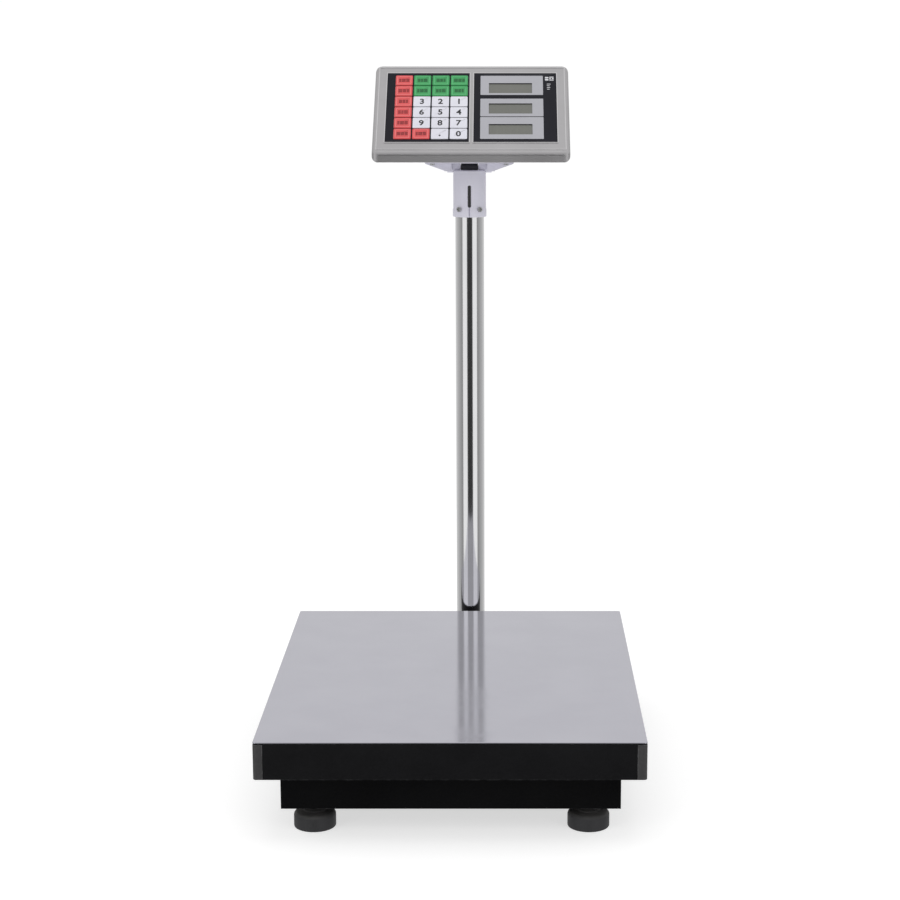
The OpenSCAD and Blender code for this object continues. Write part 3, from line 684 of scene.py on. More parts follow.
FINISHES = {
    f.name: f for f in (
        Finish("deck_steel", (0.54, 0.535, 0.60), (0.60, 0.595, 0.66), 0.09, 0.02, metallic=1.0,
               grain=Grain.BRUSHED, stretch=(2500.0, 30.0, 400.0), bump=0.02, smudge=0.35),
        # Near-black skirts: a painted reflection of dark surroundings in stainless steel skirts.
        Finish("tray_black", (0.004, 0.004, 0.0045), (0.007, 0.007, 0.008), 0.42, 0.06,
               specular=0.14, speckle=500.0, bump=0.04, wear_and_highlight=0.25, dust=0.05),
        # Lighter grey corner strips: a painted reflection of pale surroundings in the skirts' bent
        # corners.
        Finish("lap_grey_painted_reflection", (0.035, 0.034, 0.035), (0.05, 0.049, 0.05), 0.45, 0.08,
               specular=0.3, speckle=500.0, bump=0.05, wear_and_highlight=0.8),
        Finish("frame_black", (0.002, 0.002, 0.0022), (0.004, 0.004, 0.0045), 0.5, 0.08,
               specular=0.06, speckle=700.0, bump=0.2, wear_and_highlight=0.3, dust=0.04),
        Finish("dark_steel", (0.05, 0.05, 0.055), (0.08, 0.08, 0.085), 0.42, 0.1,
               metallic=0.8, speckle=1200.0, bump=0.06, wear_and_highlight=0.6, wear_and_highlight_colour=(0.3, 0.3, 0.3)),
        Finish("plain_steel", (0.5, 0.51, 0.52), (0.62, 0.62, 0.6), 0.3, 0.1, metallic=1.0,
               speckle=700.0, bump=0.05, dust=0.15),
        Finish("cell_aluminium", (0.7, 0.71, 0.72), (0.78, 0.79, 0.8), 0.32, 0.06, metallic=1.0,
               grain=Grain.BRUSHED, stretch=(300.0, 20.0, 1500.0), bump=0.05, smudge=0.4),
        Finish("rubber_black", (0.022, 0.022, 0.024), (0.034, 0.034, 0.036), 0.6, 0.1,
               specular=0.35, speckle=1100.0, bump=0.25, dust=0.35),
        Finish("column_chrome", (0.78, 0.78, 0.79), (0.84, 0.84, 0.85), 0.09, 0.02, metallic=1.0,
               grain=Grain.BRUSHED, stretch=(500.0, 500.0, 6.0), bump=0.012, smudge=0.3),
        Finish("cable_black", (0.025, 0.025, 0.028), (0.035, 0.035, 0.038), 0.5, 0.08,
               speckle=1500.0, bump=0.1, dust=0.2),
        Finish("plastic_white", (0.66, 0.65, 0.74), (0.72, 0.71, 0.80), 0.42, 0.06,
               specular=0.4, speckle=1600.0, bump=0.06, wear_and_highlight=0.3, wear_and_highlight_colour=(0.4, 0.39, 0.42),
               smudge=0.3),
        # Its near-white edge colour is a painted highlight along the head's steps and rims, where they
        # catch light.
        Finish("head_steel", (0.50, 0.49, 0.50), (0.60, 0.59, 0.60), 0.44, 0.05, metallic=1.0,
               grain=Grain.BRUSHED, stretch=(25.0, 1500.0, 1500.0), bump=0.05, smudge=0.5,
               wear_and_highlight=0.5, wear_and_highlight_colour=(0.92, 0.91, 0.92)),
        # A lighter copy of head_steel: a painted highlight for the bright lines along the head's rims.
        Finish("trim_steel_painted_highlight", (0.72, 0.71, 0.72), (0.80, 0.79, 0.80), 0.3, 0.05, metallic=1.0,
               grain=Grain.BRUSHED, stretch=(25.0, 1500.0, 1500.0), bump=0.03),
        Finish("overlay_black", (0.007, 0.007, 0.011), (0.012, 0.012, 0.018), 0.46, 0.05,
               specular=0.18, speckle=3000.0, bump=0.06, smudge=0.5),
        Finish("key_red", (0.66, 0.075, 0.08), (0.74, 0.10, 0.10), 0.38, 0.06,
               specular=0.4, speckle=1800.0, bump=0.05, wear_and_highlight=0.7, wear_and_highlight_colour=(0.85, 0.3, 0.3),
               smudge=0.4),
        Finish("key_green", (0.035, 0.30, 0.085), (0.05, 0.36, 0.11), 0.38, 0.06,
               specular=0.4, speckle=1800.0, bump=0.05, wear_and_highlight=0.7, wear_and_highlight_colour=(0.2, 0.55, 0.3),
               smudge=0.4),
        Finish("key_white", (0.70, 0.70, 0.77), (0.78, 0.78, 0.85), 0.38, 0.06,
               specular=0.4, speckle=1800.0, bump=0.05, wear_and_highlight=0.3, wear_and_highlight_colour=(0.85, 0.85, 0.88),
               smudge=0.4),
        Finish("ink_black", (0.012, 0.012, 0.014), (0.02, 0.02, 0.022), 0.5, 0.08, speckle=2500.0),
        Finish("ink_red", (0.13, 0.008, 0.01), (0.20, 0.012, 0.016), 0.5, 0.08, speckle=2500.0),
        Finish("ink_green", (0.004, 0.05, 0.016), (0.006, 0.08, 0.024), 0.5, 0.08, speckle=2500.0),
        Finish("line_red", (0.80, 0.22, 0.22), (0.86, 0.28, 0.27), 0.4, 0.08, speckle=2500.0),
        Finish("line_green", (0.10, 0.46, 0.20), (0.14, 0.52, 0.24), 0.4, 0.08, speckle=2500.0),
        Finish("print_grey", (0.385, 0.385, 0.42), (0.43, 0.43, 0.465), 0.4, 0.06,
               specular=0.4, speckle=3000.0, bump=0.05, smudge=0.5),
        Finish("print_white", (0.62, 0.62, 0.65), (0.7, 0.7, 0.73), 0.4, 0.06, speckle=3000.0),
        Finish("lcd_glass", (0.135, 0.138, 0.122), (0.155, 0.158, 0.14), 0.35, 0.05,
               specular=0.4, coat=0.8, coat_roughness=0.05, speckle=4000.0, bump=0.01, smudge=0.3),
        Finish("lcd_segment", (0.122, 0.125, 0.11), (0.14, 0.143, 0.126), 0.35, 0.05,
               speckle=4000.0, bump=0.01),
        Finish("board_green", (0.02, 0.13, 0.05), (0.03, 0.17, 0.07), 0.4, 0.1, coat=0.4,
               speckle=500.0, bump=0.1),
        Finish("battery_grey", (0.08, 0.085, 0.1), (0.1, 0.105, 0.12), 0.5, 0.08, speckle=900.0,
               bump=0.15),
        Finish("plastic_black", (0.018, 0.018, 0.02), (0.026, 0.026, 0.028), 0.3, 0.06,
               speckle=1600.0, bump=0.06, dust=0.1),
        Finish("rocker_red", (0.5, 0.03, 0.03), (0.58, 0.045, 0.045), 0.28, 0.05, coat=0.3,
               speckle=1800.0, bump=0.03),
    )
}


class Wardrobe:
    """Hands out each finish's material, built once."""

    def __init__(self) -> None:
        """Starts with no material built."""
        self.made: dict[str, bpy.types.Material] = {}

    def __getitem__(self, name: str) -> bpy.types.Material:
        """Gives a finish's material by name."""
        if name not in self.made:
            self.made[name] = FINISHES[name].build()
        return self.made[name]


FINISH = Wardrobe()


def dress_node(node: str, finish: str, soften: float = 0.0) -> None:
    """Gives a CAD node its finish and, if asked, softened edges.

    Args:
        node: The node's name.
        finish: The finish's name.
        soften: Width of the softened edges; 0 leaves them sharp.
    """
    obj = frame["nodes"][node]
    obj.data.materials.clear()
    obj.data.materials.append(FINISH[finish])
    if soften > 0:
        weld = obj.modifiers.new("weld", "WELD")
        weld.merge_threshold = 0.002 * MM
        rim = obj.modifiers.new("soften", "BEVEL")
        rim.width = soften
        rim.segments = 2
        rim.limit_method = "ANGLE"
        rim.angle_limit = math.radians(35)
        rim.use_clamp_overlap = True
    log.info("%s keeps its CAD shape, in %s", node, finish)


def dress_nodes(dressing: dict[str, tuple[str, float]]) -> None:
    """Dresses several CAD nodes, each with a finish and a width of softened edges."""
    for node, (finish, soften) in dressing.items():
        dress_node(node, finish, soften)


# ---------------------------------------------------------------- sub-assemblies


@dataclass
class Deck:
    """The loose deck: a steel cover sheet on a near-black tray with lapped corners; the tray's
    near-black and the laps' lighter grey paint the reflections seen in stainless skirts.
    """

    cover_corner: float = 3.0 * MM
    cover_edge: float = 0.7 * MM
    flat_rim: float = 1.0 * MM
    lap_proud: float = 0.6 * MM
    lap_width: float = 10.0 * MM
    lap_sheet: float = 1.0 * MM
    tray_corner: float = 2.4 * MM
    tray_sheet: float = 1.5 * MM
    tray_edge: float = 0.8 * MM

    def build(self) -> None:
        """Makes the cover, the tray and the corner laps."""
        self._cover()
        self._tray()
        self._laps()

    def _cover(self) -> None:
        """Bright cover sheet with round corners and a rolled rim."""
        lo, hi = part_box("platform_cover")
        bm = slab_mesh(lo, hi, self.cover_corner, self.cover_edge, 8)
        top = max((f for f in bm.faces if f.normal.z > 0.99), key=lambda f: f.calc_area())
        bmesh.ops.inset_region(bm, faces=[top], thickness=self.flat_rim, depth=0.0)
        cover = mesh_object("deck_cover_sheet", bm)
        finish_piece(cover, FINISH["deck_steel"], "tray", ("platform_cover",))

    def _tray(self) -> None:
        """Near-black tray: a top with skirts all round, open below; its colour is a painted reflection
        of dark surroundings in stainless skirts.
        """
        lo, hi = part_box("platform_tray")
        inset = Vector((self.lap_proud, self.lap_proud, 0))
        bm = box_mesh(lo + inset, hi - inset)
        round_edges(bm, edges_along(bm, UP), self.tray_corner, 6)
        top = [
            e for e in sharp_edges(bm, SHARP_TURN)
            if min(e.verts[0].co.z, e.verts[1].co.z) > hi.z - 0.01 * MM
        ]
        round_edges(bm, top, self.tray_edge, 3)
        underside = [f for f in bm.faces if f.normal.z < -0.9]
        bmesh.ops.delete(bm, geom=underside, context="FACES_ONLY")
        bmesh.ops.recalc_face_normals(bm, faces=bm.faces)
        bmesh.ops.solidify(bm, geom=bm.faces[:], thickness=self.tray_sheet)
        tray = mesh_object("deck_tray", bm)
        finish_piece(tray, FINISH["tray_black"], "tray", ("platform_tray",))

    def _laps(self) -> None:
        """Strips that lap over the skirts' four corners, in a lighter grey that paints the reflection
        of pale surroundings in the skirts' bent corners.
        """
        lo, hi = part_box("platform_tray")
        width = self.lap_width
        corners = []
        for right in (False, True):
            for back in (False, True):
                x = hi.x - width if right else lo.x
                y = hi.y - width if back else lo.y
                foot = Vector((x, y, lo.z + 0.4 * MM))
                bm = box_mesh(foot, foot + Vector((width, width, hi.z - lo.z - 1.6 * MM)))
                inward = Vector((-1 if right else 1, -1 if back else 1, 0))
                outer = [
                    e for e in edges_along(bm, UP)
                    if all((f.normal.dot(inward)) < -0.5 for f in e.link_faces)
                ]
                round_edges(bm, outer, self.tray_corner + self.lap_proud, 6)
                unseen = [
                    f for f in bm.faces
                    if f.normal.dot(inward) > 0.5 or abs(f.normal.z) > 0.5
                ]
                bmesh.ops.delete(bm, geom=unseen, context="FACES")
                bmesh.ops.solidify(bm, geom=bm.faces[:], thickness=self.lap_sheet)
                rims = sharp_edges(bm, SHARP_TURN)
                round_edges(bm, rims, 0.25 * MM, 2)
                corners.append(bm)
        laps = mesh_object("tray_corner_laps", merged(corners))
        finish_piece(laps, FINISH["lap_grey_painted_reflection"], "tray")


@dataclass
class Foot:
    """One levelling foot: a moulded pad on a threaded stem."""

    node: str
    pad_radius: float = 22.0
    pad_height: float = 19.0
    stem_radius: float = 5.0
    thread_pitch: float = 1.5
    thread_depth: float = 0.45
    steps: int = 64

    def build(self) -> None:
        """Turns the pad and the stem in one piece."""
        lo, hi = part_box(self.node)
        middle = (lo + hi) / 2
        base = Vector((middle.x, middle.y, lo.z))
        pad = [(0.0, 0.8), (self.pad_radius - 5, 0.8), (self.pad_radius - 4.4, 0.0)]
        pad += arc(self.pad_radius - 1.5, 1.5, 1.5, -90, 0, 4)
        pad += arc(self.pad_radius - 4.5, self.pad_height - 6.5, 4.5, 5, 80, 8)
        pad += [(12.0, self.pad_height - 1.2), (11.2, self.pad_height - 0.2), (10.4, self.pad_height)]
        pad += [(self.stem_radius + 1.0, self.pad_height), (self.stem_radius, self.pad_height + 0.6)]
        top = (hi.z - lo.z) / MM
        turns = int((top - self.pad_height - 2.0) / self.thread_pitch)
        thread = []
        for turn in range(turns):
            z = self.pad_height + 1.0 + turn * self.thread_pitch
            crest = (self.stem_radius, z + self.thread_pitch / 2)
            thread += [(self.stem_radius - self.thread_depth, z), crest]
        end = [(self.stem_radius - 1.0, top), (0.0, top)]
        foot = mesh_object(self.node + "_turned", lathe(pad + thread + end, base, self.steps))
        finish_piece(foot, FINISH["rubber_black"], self.node, (self.node,), 40.0)


@dataclass
class BaseFrame:
    """The welded base frame with the load cell, the spider, bolts and nuts."""

    feet: list[Foot] = field(default_factory=lambda: [Foot(node) for node in FOOT_NODES])

    def build(self) -> None:
        """Dresses the frame's nodes and turns the feet."""
        dress_nodes({
            "base_frame": ("frame_black", 1.2 * MM),
            "column_seat": ("frame_black", 0.8 * MM),
            "platform_spider": ("frame_black", 0.6 * MM),
            "base_bolts": ("dark_steel", 0.4 * MM),
            "upper_cell_bolts": ("dark_steel", 0.4 * MM),
            "overload_stops": ("dark_steel", 0.4 * MM),
            "load_cell": ("cell_aluminium", 0.5 * MM),
            "lower_spacer": ("plain_steel", 0.3 * MM),
            "upper_spacer": ("plain_steel", 0.3 * MM),
            "foot_lock_nuts": ("plain_steel", 0.5 * MM),
            "deck_pads": ("rubber_black", 0.5 * MM),
            "signal_cable": ("cable_black", 0.0),
        })
        for foot in self.feet:
            foot.build()


@dataclass
class Column:
    """The bright column tube with the white adapter on its top."""

    wall: float = 1.5
    steps: int = 128
    sleeve_flare: float = 0.6
    sleeve_foot: float = 9.0
    slot_width: float = 4.6 * MM
    slot_bottom: float = 11.5 * MM
    slot_length: float = 27.0 * MM
    split_width: float = 1.4 * MM
    neck_radius: float = 5.6
    cap_thick: float = 6.0
    lip_back: float = 6.5 * MM

    def build(self) -> None:
        """Makes the tube and the adapter, and dresses the adapter's screws."""
        self._tube()
        self._adapter()
        dress_node("adapter_screws", "plain_steel", 0.2 * MM)

    def _tube(self) -> None:
        """Polished tube with a fine edge at each end."""
        lo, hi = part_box("column_tube")
        base = Vector(((lo.x + hi.x) / 2, (lo.y + hi.y) / 2, lo.z))
        r = (hi.x - lo.x) / 2 / MM
        top = (hi.z - lo.z) / MM
        inner = r - self.wall
        profile = [(inner, 0.0), (r - 0.3, 0.0), (r, 0.3), (r, top / 2), (r, top - 0.3)]
        profile += [(r - 0.3, top), (inner, top), (inner, 0.0)]
        tube = mesh_object("column_tube_polished", lathe(profile, base, self.steps))
        finish_piece(tube, FINISH["column_chrome"], "base", ("column_tube",))

    def _adapter(self) -> None:
        """Moulded sleeve with a closed top, a slot and a split line in front."""
        lo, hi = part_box("column_adapter")
        tube_lo, tube_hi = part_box("column_tube")
        middle = (lo + hi) / 2
        base = Vector((middle.x, middle.y, lo.z))
        r = (hi.x - lo.x) / 2 / MM
        bore = (tube_hi.x - tube_lo.x) / 2 / MM + 0.05
        top = (hi.z - lo.z) / MM
        cap = (tube_hi.z - lo.z) / MM
        slim = r - self.sleeve_flare
        shoulder = lo.z + (cap + self.cap_thick) * MM
        profile = [(bore, 0.0), (r - 0.5, 0.0), (r, 0.5), (r, self.sleeve_foot)]
        profile += [(slim, self.sleeve_foot + 1.5), (slim, top - 1.5)]
        profile += arc(slim - 1.5, top - 1.5, 1.5, 15, 90, 5)
        profile += [(self.neck_radius, top), (self.neck_radius, cap), (bore, cap), (bore, 0.0)]
        sleeve = mesh_object("adapter_sleeve", lathe(profile, base, self.steps))
        front = lo.y
        half = self.slot_width / 2
        slot = box_mesh(
            Vector((middle.x - half, front - 5 * MM, lo.z + self.slot_bottom)),
            Vector((middle.x + half, middle.y, lo.z + self.slot_bottom + self.slot_length)),
        )
        round_edges(slot, edges_along(slot, Vector((0, 1, 0))), half * 0.95, 6)
        half = self.split_width / 2
        split = box_mesh(
            Vector((middle.x - half, front - 5 * MM, lo.z - 1 * MM)),
            Vector((middle.x + half, front + 2 * MM, lo.z + self.slot_bottom + 1 * MM)),
        )
        behind_lip = box_mesh(
            Vector((lo.x - 1 * MM, middle.y - self.lip_back, shoulder)), hi + Vector((1, 1, 1)) * MM
        )
        carve(sleeve, [slot, split, behind_lip])
        finish_piece(sleeve, FINISH["plastic_white"], "base", ("column_adapter",))


@dataclass
class TiltHinge:
    """The bracket under the head and the bolt that it tilts on."""

    def build(self) -> None:
        """Dresses the hinge's nodes."""
        dress_nodes({
            "hinge_tongue": ("dark_steel", 0.3 * MM),
            "tilt_bracket": ("plastic_white", 0.4 * MM),
            "tilt_bolt": ("plain_steel", 0.3 * MM),
            "tilt_nut": ("plain_steel", 0.3 * MM),
        })


@dataclass
class Head:
    """The head's steel shell with its stepped rim, and the plate below it."""

    wall: float = 2.0 * MM
    edge: float = 5.0 * MM
    corner: float = 8.0 * MM
    side_edge: float = 5.0 * MM
    rim_step: float = 0.3 * MM
    overlay_proud: float = 0.4 * MM
    pocket_gap: float = 0.1 * MM
    trim_width: float = 0.9 * MM
    bead_inset: float = 5.4 * MM
    bead_width: float = 0.8 * MM
    inlet_radius: float = 5.55 * MM
    steps: int = 8

    def build(self) -> None:
        """Makes the shell and dresses the base plate and the screws."""
        self._shell()
        self._trim()
        dress_node("head_base", "head_steel", 0.3 * MM)
        dress_node("case_screws", "plain_steel", 0.2 * MM)

    def face_level(self) -> float:
        """Gives the sloping face's distance along its normal."""
        return FACE.extent("keypad_overlay")[1].z - self.overlay_proud

    def outline(self, inset: float) -> list[tuple[float, float]]:
        """Works out the head's side outline.

        Args:
            inset: How far the outline is drawn in.

        Returns:
            Points of Y and Z: front foot, front edge, top front, top back, back foot.
        """
        lo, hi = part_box("head_shell")
        level = self.face_level() - inset
        front, back = lo.y + inset, hi.y - inset
        top, bottom = hi.z - inset, lo.z + inset
        edge_z = (level - FACE.n.y * front) / FACE.n.z
        ridge_y = (level - FACE.n.z * top) / FACE.n.y
        return [(front, bottom), (front, edge_z), (ridge_y, top), (back, top), (back, bottom)]

    def _block(self, inset: float) -> bmesh.types.BMesh:
        """Makes the head's sharp-edged block, drawn in by an inset."""
        lo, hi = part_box("head_shell")
        left, right = lo.x + inset, hi.x - inset
        bm = bmesh.new()
        verts = [bm.verts.new((left, y, z)) for y, z in self.outline(inset)]
        side = bm.faces.new(verts)
        grown = bmesh.ops.extrude_face_region(bm, geom=[side])
        moved = [g for g in grown["geom"] if isinstance(g, bmesh.types.BMVert)]
        bmesh.ops.translate(bm, vec=(right - left, 0, 0), verts=moved)
        bmesh.ops.recalc_face_normals(bm, faces=bm.faces)
        return bm

    def _rounded(self, name: str, inset: float) -> bpy.types.Object:
        """Makes the head's body with every edge rounded to its own radius.

        Args:
            name: The object's name.
            inset: How far the body is drawn in.

        Returns:
            The rounded body.
        """
        bm = self._block(inset)
        weight = bm.edges.layers.float.new("bevel_weight_edge")
        outline = self.outline(inset)
        corner = self.corner - inset
        for e in bm.edges:
            a, b = e.verts[0].co, e.verts[1].co
            turn = e.calc_face_angle(0.0)
            if abs(a.x - b.x) > 1 * MM:
                on_floor = abs(a.z - outline[0][1]) < 0.01 * MM
                e[weight] = 0.0 if on_floor else (self.edge - inset) * math.tan(turn / 2) / corner
            else:
                sloping = abs(a.y - b.y) > 1 * MM and abs(a.z - b.z) > 1 * MM
                in_front = max(a.y, b.y) < outline[0][0] + 1 * MM
                e[weight] = (self.side_edge - inset) / corner if sloping or in_front else 1.0
        body = mesh_object(name, bm)
        bevel = body.modifiers.new("round", "BEVEL")
        bevel.limit_method = "WEIGHT"
        bevel.width = corner
        bevel.segments = self.steps
        bevel.use_clamp_overlap = True
        settle(body)
        return body

    def _step_rim(self, body: bpy.types.Object) -> None:
        """Sinks the face and the front skirt a little inside their rims."""
        bm = bmesh.new()
        bm.from_mesh(body.data)
        for normal in (FACE.n, Vector((0, -1, 0))):
            panel = max(
                (f for f in bm.faces if f.normal.dot(normal) > 0.999), key=lambda f: f.calc_area()
            )
            bmesh.ops.inset_region(
                bm, faces=[panel], thickness=self.rim_step, depth=-self.rim_step, use_even_offset=True
            )
        bm.to_mesh(body.data)
        bm.free()

    def _cutters(self) -> list[bmesh.types.BMesh]:
        """Lists what is cut out of the shell besides its inside: the base, the overlays and fittings.
        """
        lo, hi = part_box("head_base")
        gap = Vector((0.2, 0.2, 0)) * MM
        reach = Vector((0, 0, 1 * MM))
        cuts = [box_mesh(lo - gap - reach, hi + gap + reach)]
        for node in ("keypad_overlay", "display_overlay"):
            low, high = FACE.extent(node)
            room = Vector((self.pocket_gap, self.pocket_gap, 0))
            cuts.append(FACE.place(box_mesh(low - room, high + room + Vector((0, 0, 9 * MM)))))
        keys = [FACE.extent(f"key_r{r}c{c}") for r in (1, KEY_ROWS) for c in (1, KEY_COLS)]
        for low, high in (
            (Vector(map(min, *(k[0] for k in keys))), Vector(map(max, *(k[1] for k in keys)))),
            FACE.extent("lcd_modules"),
        ):
            level = self.face_level()
            low.z, high.z = level - 8 * MM, level + 2 * MM
            cuts.append(FACE.place(box_mesh(low, high)))
        low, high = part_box("switch_bezel")
        trim = Vector((0.8, 0, 0.8)) * MM
        cuts.append(box_mesh(low + trim, high - trim + Vector((0, 4 * MM, 0))))
        low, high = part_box("dc_inlet")
        middle = (low + high) / 2
        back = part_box("head_shell")[1].y
        start, end = (Vector((middle.x, back + s * 6 * MM, middle.z)) for s in (-1, 1))
        cuts.append(rod_mesh(start, end, self.inlet_radius, 48))
        return cuts

    def _shell(self) -> None:
        """Rounded, stepped and hollowed shell."""
        shell = self._rounded("head_shell_pressed", 0.0)
        self._step_rim(shell)
        inside = self._rounded("head_inside", self.wall)
        hollow = bmesh.new()
        hollow.from_mesh(inside.data)
        bpy.data.objects.remove(inside)
        carve(shell, [hollow] + self._cutters())
        finish_piece(shell, FINISH["head_steel"], "head", ("head_shell",), 28.0)

    def _trim(self) -> None:
        """Bright lip round each overlay's pocket, fine beads inside the rims and a bead on the skirt,
        in a lighter copy of the head's steel: a painted highlight where the rims catch light.
        """
        level = self.face_level()
        bars = []
        for node in ("keypad_overlay", "display_overlay"):
            low, high = FACE.extent(node)
            low -= Vector((self.pocket_gap, self.pocket_gap, 0))
            high += Vector((self.pocket_gap, self.pocket_gap, 0))
            low.z, high.z = level - 0.6 * MM, level + self.overlay_proud - 0.05 * MM
            bars += border_meshes(low, high, self.trim_width)
        lo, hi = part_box("head_shell")
        outline = self.outline(0.0)
        bottom, top = (Vector((0, y, z)).dot(FACE.v) for y, z in outline[1:3])
        inset = self.bead_inset
        low = Vector((lo.x + inset, bottom + inset + 0.6 * MM, level - 0.6 * MM))
        high = Vector((hi.x - inset, top - inset / 2, level + 0.05 * MM))
        bars += border_meshes(low, high, self.bead_width)
        trim = mesh_object("face_trim", FACE.place(merged(bars)))
        finish_piece(trim, FINISH["trim_steel_painted_highlight"], "head")
        edge = outline[1][1] - self.bead_inset / 2
        side = self.corner + 1 * MM
        front = Vector((lo.x + side, lo.y + 0.02 * MM, edge - self.bead_width))
        bead = box_mesh(front, Vector((hi.x - side, lo.y + 0.6 * MM, edge)))
        finish_piece(mesh_object("skirt_bead", bead), FINISH["trim_steel_painted_highlight"], "head")


class KeyColour(Enum):
    """Colours of the keys."""

    RED = "red"
    GREEN = "green"
    WHITE = "white"


@dataclass
class Key:
    """One key: a dished cap on a stem, with its legend."""

    row: int
    col: int
    depth: float = 3.0 * MM
    corner: float = 1.3 * MM
    edge: float = 0.45 * MM
    dish: float = 0.18 * MM
    dish_rim: float = 1.1 * MM
    stem_radius: float = 2.5 * MM
    numeral_height: float = 9.0 * MM
    print_height: float = 0.08 * MM
    boldness: float = 0.025
    frame_inset: float = 1.9 * MM
    frame_line: float = 0.6 * MM
    bar_line: float = 1.3 * MM
    bar_pitch: float = 1.95 * MM
    bar_gap: float = 0.6 * MM

    @property
    def place(self) -> str:
        """Row and column as they stand in the names."""
        return f"r{self.row}c{self.col}"

    @property
    def numeral(self) -> str | None:
        """The numeral or point on the key, if it has one."""
        if self.col == 1 or self.row < 3:
            return None
        if self.row < 6:
            return str(3 * (self.row - 3) + 5 - self.col)
        return {3: ".", 4: "0"}.get(self.col)

    @property
    def colour(self) -> KeyColour:
        """The key's colour."""
        if self.numeral:
            return KeyColour.WHITE
        return KeyColour.GREEN if self.row < 3 and self.col > 1 else KeyColour.RED

    def build(self) -> None:
        """Makes the cap with its stem, and prints its legend."""
        low, high = FACE.extent(f"key_{self.place}")
        cap_low = Vector((low.x, low.y, high.z - self.depth))
        cap = slab_mesh(cap_low, high, self.corner, self.edge, 4)
        top = max((f for f in cap.faces if f.normal.z > 0.99), key=lambda f: f.calc_area())
        bmesh.ops.inset_region(cap, faces=[top], thickness=self.dish_rim, depth=0.0)
        bmesh.ops.inset_region(cap, faces=[top], thickness=0.5 * MM, depth=-self.dish)
        mid = (low + high) / 2
        foot = Vector((mid.x, mid.y, low.z))
        stem = rod_mesh(foot, Vector((mid.x, mid.y, cap_low.z)), self.stem_radius, 24)
        body = f"key_{self.place}_body"
        slot = f"key_{self.colour.value}"
        obj = mesh_object(f"key_cap_{self.place}", FACE.place(merged([cap, stem])))
        finish_piece(obj, FINISH[slot], body, (f"key_{self.place}",))
        level = high.z - self.dish
        legend = self._numeral(mid, level) if self.numeral else self._marks(mid, level)
        ink = {KeyColour.RED: "ink_red", KeyColour.GREEN: "ink_green", KeyColour.WHITE: "ink_black"}
        piece = mesh_object(f"key_legend_{self.place}", FACE.place(legend))
        finish_piece(piece, FINISH[ink[self.colour]], body)
        if not self.numeral:
            frame = mesh_object(f"key_frame_{self.place}", FACE.place(self._frame(low, high)))
            finish_piece(frame, FINISH[f"line_{self.colour.value}"], body)

    def _numeral(self, mid: Vector, level: float) -> bmesh.types.BMesh:
        """Draws the numeral or the point.

        Args:
            mid: Middle of the key in face coordinates.
            level: Height of the key's top in face coordinates.

        Returns:
            The raised print, in face coordinates.
        """
        if self.numeral == ".":
            centre = Vector((mid.x, mid.y - 0.32 * self.numeral_height, level))
            return rod_mesh(centre, centre + Vector((0, 0, self.print_height)), 1.2 * MM, 24)
        curve = bpy.data.curves.new("numeral", "FONT")
        curve.body = self.numeral
        curve.offset = self.boldness
        curve.extrude = 0.01
        writer = bpy.data.objects.new("numeral", curve)
        bpy.context.scene.collection.objects.link(writer)
        bpy.context.view_layer.update()
        drawn = writer.evaluated_get(bpy.context.evaluated_depsgraph_get())
        mesh = bpy.data.meshes.new_from_object(drawn)
        bm = bmesh.new()
        bm.from_mesh(mesh)
        bpy.data.objects.remove(writer)
        bpy.data.meshes.remove(mesh)
        xs, ys, zs = ([v.co[i] for v in bm.verts] for i in range(3))
        middle = Vector(((min(xs) + max(xs)) / 2, (min(ys) + max(ys)) / 2, min(zs)))
        size = self.numeral_height / (max(ys) - min(ys))
        across = size if NUMERALS_READABLE else -size
        bmesh.ops.translate(bm, vec=-middle, verts=bm.verts)
        bmesh.ops.scale(
            bm, vec=(across, size, self.print_height / (max(zs) - min(zs))), verts=bm.verts
        )
        bmesh.ops.remove_doubles(bm, verts=bm.verts, dist=0.001 * MM)
        bmesh.ops.recalc_face_normals(bm, faces=bm.faces)
        bmesh.ops.translate(bm, vec=(mid.x, mid.y, level), verts=bm.verts)
        return bm

    def _marks(self, mid: Vector, level: float) -> bmesh.types.BMesh:
        """Draws rows of plain bars close together, of lengths that differ from key to key.

        Args:
            mid: Middle of the key in face coordinates.
            level: Height of the key's top in face coordinates.

        Returns:
            The raised print, in face coordinates.
        """
        bars = []
        for row in range(3):
            seeds = [self.row * 3 + self.col * 5 + row * 4 + i * 7 for i in range(3)]
            widths = [(2.6 + 0.7 * (seed % 4)) * MM for seed in seeds]
            x = mid.x - (sum(widths) + self.bar_gap * (len(widths) - 1)) / 2
            y = mid.y + (1 - row) * self.bar_pitch - self.bar_line / 2
            for width in widths:
                lo = Vector((x, y, level))
                bars.append(box_mesh(lo, lo + Vector((width, self.bar_line, self.print_height))))
                x += width + self.bar_gap
        return merged(bars)

    def _frame(self, low: Vector, high: Vector) -> bmesh.types.BMesh:
        """Draws a fine line round the key's top.

        Args:
            low: Lower corner of the key in face coordinates.
            high: Upper corner of the key in face coordinates.

        Returns:
            The line, in face coordinates.
        """
        inner = self.frame_inset + self.frame_line
        level = high.z - self.dish
        start = Vector((low.x + inner, low.y + inner, level))
        end = Vector((high.x - inner, high.y - inner, level + self.print_height))
        return merged(border_meshes(start, end, self.frame_line))


@dataclass
class Keypad:
    """The keypad's overlay and its keys."""

    def build(self) -> None:
        """Dresses the overlay and makes the keys."""
        dress_node("keypad_overlay", "overlay_black", 0.15 * MM)
        for row in range(1, KEY_ROWS + 1):
            for col in range(1, KEY_COLS + 1):
                Key(row, col).build()


